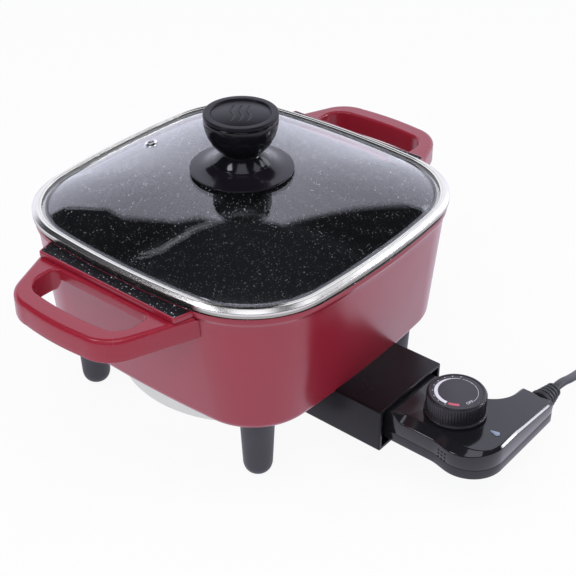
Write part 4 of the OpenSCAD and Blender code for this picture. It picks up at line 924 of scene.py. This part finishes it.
def makeControl():
    # the outline at several levels: small round at the seam, upright side, sloping shoulder and flat top
    z0, z1, top = control["low"], control["split"], topAlong(controlRing(0))
    r = control["lowRound"]
    lower = [(z0, r + 0.4), (z0, r)]
    lower += [(z0 + r - r * np.cos(k), r * (1 - np.sin(k))) for k in np.linspace(0.2, pi / 2, 5)]
    lower += [(z1 - 0.45, 0), (z1 - 0.15, 0.1), (z1, 0.4), (z1, 0.8)]
    wide, drop = shoulderAlong(0), shoulderAlong(1)
    edge, seam = top - drop, z1 + 0.1
    upper = [(seam, 0.8), (seam, 0.4), (seam + 0.15, 0.1), (seam + 0.45, 0)]
    upper += [(edge - 0.6, 0), (edge - 0.25, 0.03)]
    upper += [(edge + drop * s, wide * s + 0.05) for s in (0.04, 0.1, 0.5, 0.9)]
    upper += [(top - 0.04 * drop, wide * 0.98), (top - 0.02, wide + 0.25)]
    upper += [(top, wide + 0.55), (top, wide + 0.9)]
    halves = ("controlBottom", "control_bottom", lower), ("controlTop", "control_top", upper)
    for name, node, levels in halves:
        addPiece(name, "control", [controlSlab(levels)], glossBlack, (node,), 40)


vents = dict(y=-175.5, z=36.2, step=2.6, radius=0.8, count=3, sheet=0.05, lift=0.02, sides=16)
ports = dict(span=13, z=36, radius=3.2, sides=32)


def paintedShadeDisc(radius, sides):
    # a thin turned slice of painted shade, as grids of x, y and z
    s = vents["sheet"]
    return np.moveaxis(turned([(needle, 0), (radius, 0), (radius, s), (needle, s)], count=sides), -1, 0)


def makeVents():
    # small discs of painted shade stand for the vents on the control's swelling flank, and larger ones
    # for the pins' holes in its nose
    shells = []
    x, y, z = paintedShadeDisc(vents["radius"], vents["sides"])
    steps = (np.arange(vents["count"]) - (vents["count"] - 1) / 2) * vents["step"]
    for dy in steps:
        for dz in steps:
            across = vents["y"] + dy + x
            out = flankX(across) - vents["lift"] - z
            shells.append(shell(np.stack([out, across, vents["z"] + dz + y], -1)))
    x, y, z = paintedShadeDisc(ports["radius"], ports["sides"])
    for side in (-1, 1):
        shells.append(shell(np.stack([side * ports["span"] + x, control["nose"] + z, ports["z"] + y], -1)))
    addPiece("ventHoles", "control", shells, paintedHoleShade)


lens = dict(place=(1.5, -196), radius=1.7, length=4.6, low=45.4, top=46.25)


def makeLens():
    # a drop outline that shrinks as it rises to a low dome
    a = np.linspace(0, 2 * pi, 48, endpoint=False)
    tip = np.maximum(0, np.cos(a)) ** 5 * (lens["length"] - lens["radius"])
    x, y = -lens["radius"] * np.sin(a), lens["radius"] * np.cos(a) + tip
    t = np.linspace(0, pi / 2, 8)
    scale = np.concatenate([[1], np.cos(t[:-1]), [needle]])[:, None]
    z = np.concatenate([[lens["low"]], control["top"] + (lens["top"] - control["top"]) * np.sin(t)])[:, None]
    points = np.stack([lens["place"][0] + scale * x, lens["place"][1] + scale * y, z + 0 * x], -1)
    addPiece("pilotLens", "control", [shell(points)], lensPale, ("pilot_lens",), 60)


relief = dict(start=55, end=71, y=-195.5, z=36, collar=8.0, collarLength=1.9, root=7.4, tip=4.9, core=4.2,
              swell=0.5, ribs=4)


def makeRelief():
    # a collar, then ribs on a tapering core, all turned about the cord's axis
    n, start, r0, core0 = relief["ribs"], relief["start"], relief["collar"], relief["core"]
    x1 = start + relief["collarLength"]
    pitch = (relief["end"] - x1 - 0.3) / n
    line = [(needle, start - 1), (r0 - 0.5, start - 1), (r0, start + 0.4), (r0, x1 - 0.4), (r0 - 0.4, x1),
            (core0 + 0.6, x1 + 0.1)]
    for i in range(n):
        r = relief["root"] + (relief["tip"] - relief["root"]) * (i + 0.5) / n
        core = core0 + relief["swell"] * (1 - i / n)
        rib = [(core, 0.15), (core, 0.32), (r - 0.25, 0.36), (r, 0.45), (r - 0.1, 0.92), (r - 0.4, 1)]
        line += [(out, x1 + 0.3 + pitch * (i + along)) for out, along in rib]
    x, y, z = np.moveaxis(turned(line + [(needle, relief["end"])], count=64), -1, 0)
    points = np.stack([z, relief["y"] + x, relief["z"] + y], -1)
    addPiece("strainRelief", "control", [shell(points)], rubber, ("strain_relief",))


makeControl()
makeVents()
makeLens()
makeRelief()
print("heat control made")

# dial

dial = dict(place=(4, -165), low=46.3, top=60.7, flange=19.3, flangeHeight=2.0, flangeRound=0.6, radius=18.4,
            ribs=64, perRib=10, depth=0.55, crown=1.4, crownRound=1.0, face=15.8, sink=0.15)


def makeDial():
    # the skirt's radius follows a softened square wave round the axis, fading at the flange and the crown
    a = np.linspace(0, 2 * pi, dial["ribs"] * dial["perRib"], endpoint=False)
    wave = np.tanh(3 * np.cos(a * dial["ribs"])) / np.tanh(3)
    z0, z1, r, f, face = dial["low"], dial["top"], dial["radius"], dial["flange"], dial["face"]
    skirtZ, crownLow = z0 + dial["flangeHeight"], z1 - dial["crown"]
    q, c = dial["flangeRound"], dial["crownRound"]
    # rows of radius, height and share of the ribs
    rows = joined((needle, z0, 0), (f - 0.5, z0, 0), (f, z0 + 0.5, 0),
                  levelled(arc((f - q, skirtZ - q), q, 0, 90, 5), 0),
                  (r + 0.15, skirtZ, 0), (r, skirtZ + 0.15, 1), (r, skirtZ + 1, 1), (r, crownLow - 0.5, 1),
                  (r, crownLow, 1), levelled(arc((r - dial["depth"] - c, z1 - c), c, 0, 90, 5), 0),
                  (face + 0.6, z1, 0), (face + 0.1, z1 - 0.1, 0), (face + 0.1, z1 - 0.5, 0),
                  (needle, z1 - 0.5, 0))
    radius = rows[:, :1] - dial["depth"] * rows[:, 2:] * (1 - wave) / 2
    x, y = dial["place"]
    points = np.stack([x + radius * np.cos(a), y + radius * np.sin(a), rows[:, 1:2] + 0 * radius], -1)
    addPiece("dialKnob", "dial", [shell(points)], dialGrey, ("dial",), 50)
    z2 = z1 - dial["sink"]
    profile = [(needle, z1 - 0.45), (face, z1 - 0.45), (face, z2 - 0.1), (face - 0.1, z2), (needle, z2)]
    disc = shell(turned(profile, dial["place"], 128))
    addPiece("dialFace", "dial", [disc], faceGrey, ("dial_face",))


marks = dict(ring=12.7, thin=0.25, thick=2.2, start=24, sweep=160, swell=0.62, tick=14.6, tickOut=0.1,
             tickSize=0.3, ticks=9, lift=0.02, sheet=0.03, wordAngle=251, wordRadius=12.2, wordSize=2.9,
             wordThick=0.02, wordLift=0.04, blockAngle=204, blockHalf=15, blockWidth=2.1, lineStart=18,
             lineEnd=-98, lineWidth=0.22)


def flatStrip(angles, middle, width, z):
    # a thin closed strip of some width about a middle radius, over a run of angles in degrees about the
    # dial's axis
    a, top = np.radians(angles), z + marks["sheet"]
    way = np.stack([np.cos(a), np.sin(a)], 1)
    inner, outer = (dial["place"] + way * np.reshape(middle + s * width / 2, (-1, 1)) for s in (-1, 1))
    rows = [(inner, z), (outer, z), (outer, top), (inner, top)]
    return shell(np.stack([levelled(line, h) for line, h in rows], 1))


def makeMarks():
    # a wedge of a ring that widens with the heat, dots along its outside, a thin line on from its start and
    # a red block at its end
    z, ring, size = dial["top"] - dial["sink"] + marks["lift"], marks["ring"], marks["tickSize"]
    t = np.linspace(0, 1, 90)
    ends = marks["start"], marks["start"] + marks["sweep"]
    wide = marks["thin"] + (marks["thick"] - marks["thin"]) * smooth(t / marks["swell"])
    shells = [flatStrip(np.linspace(*ends, 90), ring, wide, z)]
    d = np.degrees(size / marks["tick"])
    shells += [flatStrip(np.linspace(a - d, a + d, 6), marks["tick"] + marks["tickOut"], 2 * size, z)
               for a in np.linspace(*ends, marks["ticks"])]
    a = np.linspace(marks["lineEnd"], marks["lineStart"], 80)
    shells.append(flatStrip(a, ring, marks["lineWidth"], z))
    addPiece("dialMarks", "dial", shells, printWhite)
    a = marks["blockAngle"] + marks["blockHalf"] * np.linspace(-1, 1, 24)
    addPiece("dialBlock", "dial", [flatStrip(a, ring, marks["blockWidth"], z)], printRed)


def makeWord():
    # the word for rest becomes a mesh, and its points are turned and moved to their place on the dial
    words = bpy.data.curves.new("offWord", "FONT")
    words.body = "OFF"
    words.size = marks["wordSize"] * mm
    words.align_x, words.align_y = "CENTER", "CENTER"
    words.extrude = marks["wordThick"] * mm
    maker = show("offWordMaker", words)
    bpy.context.view_layer.update()
    mesh = bpy.data.meshes.new_from_object(maker.evaluated_get(bpy.context.evaluated_depsgraph_get()))
    bpy.data.objects.remove(maker)
    co = np.empty(len(mesh.vertices) * 3, np.float32)
    mesh.vertices.foreach_get("co", co)
    x, y, z = co.reshape(-1, 3).T / mm
    a = np.radians(marks["wordAngle"])
    c, s, (cx, cy) = np.cos(a), np.sin(a), dial["place"]
    out, up = marks["wordRadius"] - y, dial["top"] - dial["sink"] + marks["wordLift"] + z
    placed = np.stack([cx + out * c - x * s, cy + out * s + x * c, up], 1) * mm
    mesh.vertices.foreach_set("co", placed.astype(np.float32).ravel())
    mesh.update()
    mesh.materials.clear()
    mesh.materials.append(printWhite)
    word = show("offWord", mesh)
    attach(word, "dial")


makeDial()
makeMarks()
makeWord()
print("dial made")

# CAD nodes that stay, each with its own finish

nodeFinish = dict(handle_screws=steel, foot_screws=steel, cover_screws=steel, guard_screws=steel,
                  control_screws=steel, knob_screw=steel, heat_spreader=castAlloy, heating_element=steel,
                  terminal_pins=chrome, pin_insulators=ceramic, knob_insert=brass, knob_washer=rubber,
                  sensing_rod=chrome, contact_clips=brass, clip_block=brownMoulding, thermostat_base=ceramic,
                  bimetal_blade=steel, contact_blade=brass, contact_points=chrome, pilot_lamp=lensPale,
                  lead_wires=rubber, dial_shaft=steel)
for node, mat in nodeFinish.items():
    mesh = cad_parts[node].data
    mesh.materials.clear()
    mesh.materials.append(mat)
print("finishes put on", len(nodeFinish), "nodes")

# floor, world and lamps

# edge: the slope of the white wall's top edge at places across, as seen in reflections
studio = dict(floorHalf=5.0, floorZ=-0.0004, floorTone=0.86, floorGlow=0.92, wallGlow=1.35, darkGlow=0.03,
              soft=0.014, fill=0.55, ahead=(0.773, 0.635, 0), aside=(0.635, -0.773, 0), span=0.6,
              tint=(0.96, 0.96, 1.14, 1), floorTint=(1.02, 0.99, 1.16, 1),
              edge=((-0.47, 0.65), (-0.425, 0.88), (-0.366, 1.2), (-0.26, 1.15), (-0.20, 1.04), (0.45, 1.01)))
plainWhite = {"Color": (1, 1, 1, 1), "Strength": 1.0}


def makeFloor():
    # white floor: mostly plain white to the camera and to reflections, with the object's shadow still on it
    h, z = studio["floorHalf"], studio["floorZ"]
    mesh = bpy.data.meshes.new("floor")
    mesh.from_pydata([(-h, -h, z), (h, -h, z), (h, h, z), (-h, h, z)], [], [(0, 1, 2, 3)])
    mat = newFinish("floorWhite", (studio["floorTone"],) * 3, 0.9)
    path = addNode(mat, "ShaderNodeLightPath").outputs
    seen = calc(mat, "MAXIMUM", path["Is Camera Ray"], path["Is Glossy Ray"])
    seen = calc(mat, "MAXIMUM", seen, path["Is Transmission Ray"])
    plain = addNode(mat, "ShaderNodeEmission", plainWhite)
    tinted = addNode(mat, "ShaderNodeEmission", {"Color": studio["floorTint"], "Strength": 1.0})
    glow = mixShaders(mat, path["Is Camera Ray"], tinted, plain)
    surfaceFrom(mat, calc(mat, "MULTIPLY", seen, studio["floorGlow"]), glow)
    mesh.materials.append(mat)
    show("floor", mesh)


def makeWorld():
    # white to the camera; reflections see a white wall behind the object, whose top edge is a slope over
    # the way ahead that changes sideways, and dark above it; soft light comes from all round
    world = bpy.data.worlds.new("studio")
    bpy.context.scene.world = world
    world.use_nodes = True
    world.node_tree.nodes.clear()
    path = addNode(world, "ShaderNodeLightPath").outputs
    where = addNode(world, "ShaderNodeTexCoord").outputs["Generated"]
    split = addNode(world, "ShaderNodeSeparateXYZ", {0: where})
    ahead, aside = (addNode(world, "ShaderNodeVectorMath", {0: where, 1: studio[k]}, operation="DOT_PRODUCT")
                    for k in ("ahead", "aside"))
    span, soft = studio["span"], studio["soft"]
    ramp = addNode(world, "ShaderNodeValToRGB", {0: ranged(world, aside.outputs["Value"], -span, span, 0, 1)})
    stops = ramp.color_ramp.elements
    for at, slope in studio["edge"][1:-1]:
        stops.new((at + span) / (2 * span))
    for stop, (at, slope) in zip(stops, studio["edge"]):
        stop.position = (at + span) / (2 * span)
        stop.color = (slope / 2, slope / 2, slope / 2, 1)
    rise = calc(world, "MULTIPLY", ahead.outputs["Value"], ramp.outputs["Color"])
    over = calc(world, "MULTIPLY_ADD", rise, -2.0, split.outputs[2])
    fade = ranged(world, over, -soft, soft, studio["wallGlow"], studio["darkGlow"])
    shiny = calc(world, "MAXIMUM", path["Is Glossy Ray"], path["Is Transmission Ray"])
    level = addNode(world, "ShaderNodeMix", {0: shiny, 2: studio["fill"], 3: fade})
    around = addNode(world, "ShaderNodeBackground", {"Color": studio["tint"], "Strength": level.outputs[0]})
    plain = addNode(world, "ShaderNodeBackground", plainWhite)
    both = mixShaders(world, path["Is Camera Ray"], around, plain)
    addNode(world, "ShaderNodeOutputWorld", {"Surface": both.outputs[0]})


# place, aim, size, brightness and, for the streaks, a roll about the way to the aim
lampTint = (0.95, 0.95, 1.06)
lamps = dict(
    leftLamp=((-0.65, 0.33, 1.13), (0, 0, 0.12), (0.26, 0.26), 10),
    rightPanel=((0.875, -1.04, 0.564), (0.03, -0.2, 0.044), (0.24, 0.24), 14),
    window=((0.82, -0.545, 0.864), (0, 0, 0.167), (0.20, 0.24), 4))
# these show in reflections alone
shines = dict(
    armShine=((0.993, -0.995, 0.445), (0.03, -0.2, 0.044), (0.30, 0.19), 14),
    topShine=((-0.41, -0.355, 1.47), (-0.07, -0.07, 0.138), (0.7, 0.7), 2.0),
    streakLow=((0.069, 0.903, 1.326), (-0.095, -0.009, 0.143), (0.151, 0.014), 1.2, -0.05),
    streakMid=((0.256, 0.867, 1.308), (-0.078, -0.017, 0.148), (0.233, 0.016), 1.1, 0.285),
    streakHigh=((0.462, 0.846, 1.262), (-0.062, -0.023, 0.152), (0.2, 0.02), 0.7, 0.46),
    sideShine=((1.17, -0.33, 0.725), (0.09, -0.09, 0.138), (0.42, 0.42), 2.0),
    cornerShine=((0.444, -0.655, 1.2), (-0.05, -0.1, 0.138), (0.42, 0.42), 2.0))
# these show in no reflection
fills = dict(
    leftFill=((-1.1, -0.35, 0.75), (0, 0, 0.1), (0.7, 0.7), 2.6),
    topFill=((-0.35, -0.55, 1.7), (0, 0, 0.1), (1.2, 1.2), 1.9))


def makeLamp(name, place, aim, size, glow, roll=0):
    # a flat panel that faces its aim; the watts come from the wanted brightness times the area times pi
    data = bpy.data.lights.new(name, "AREA")
    data.shape = "RECTANGLE"
    data.size, data.size_y = size
    data.color = lampTint
    data.energy = glow * size[0] * size[1] * pi
    panel = show(name, data)
    panel.location = place
    panel.rotation_euler = (facing(place, aim) @ Quaternion((0, 0, 1), roll)).to_euler()
    panel.visible_glossy = name not in fills
    panel.visible_diffuse = name not in shines


makeFloor()
makeWorld()
for name, row in (lamps | shines | fills).items():
    makeLamp(name, *row)
bpy.context.scene.view_settings.view_transform = "Standard"
print("studio made")
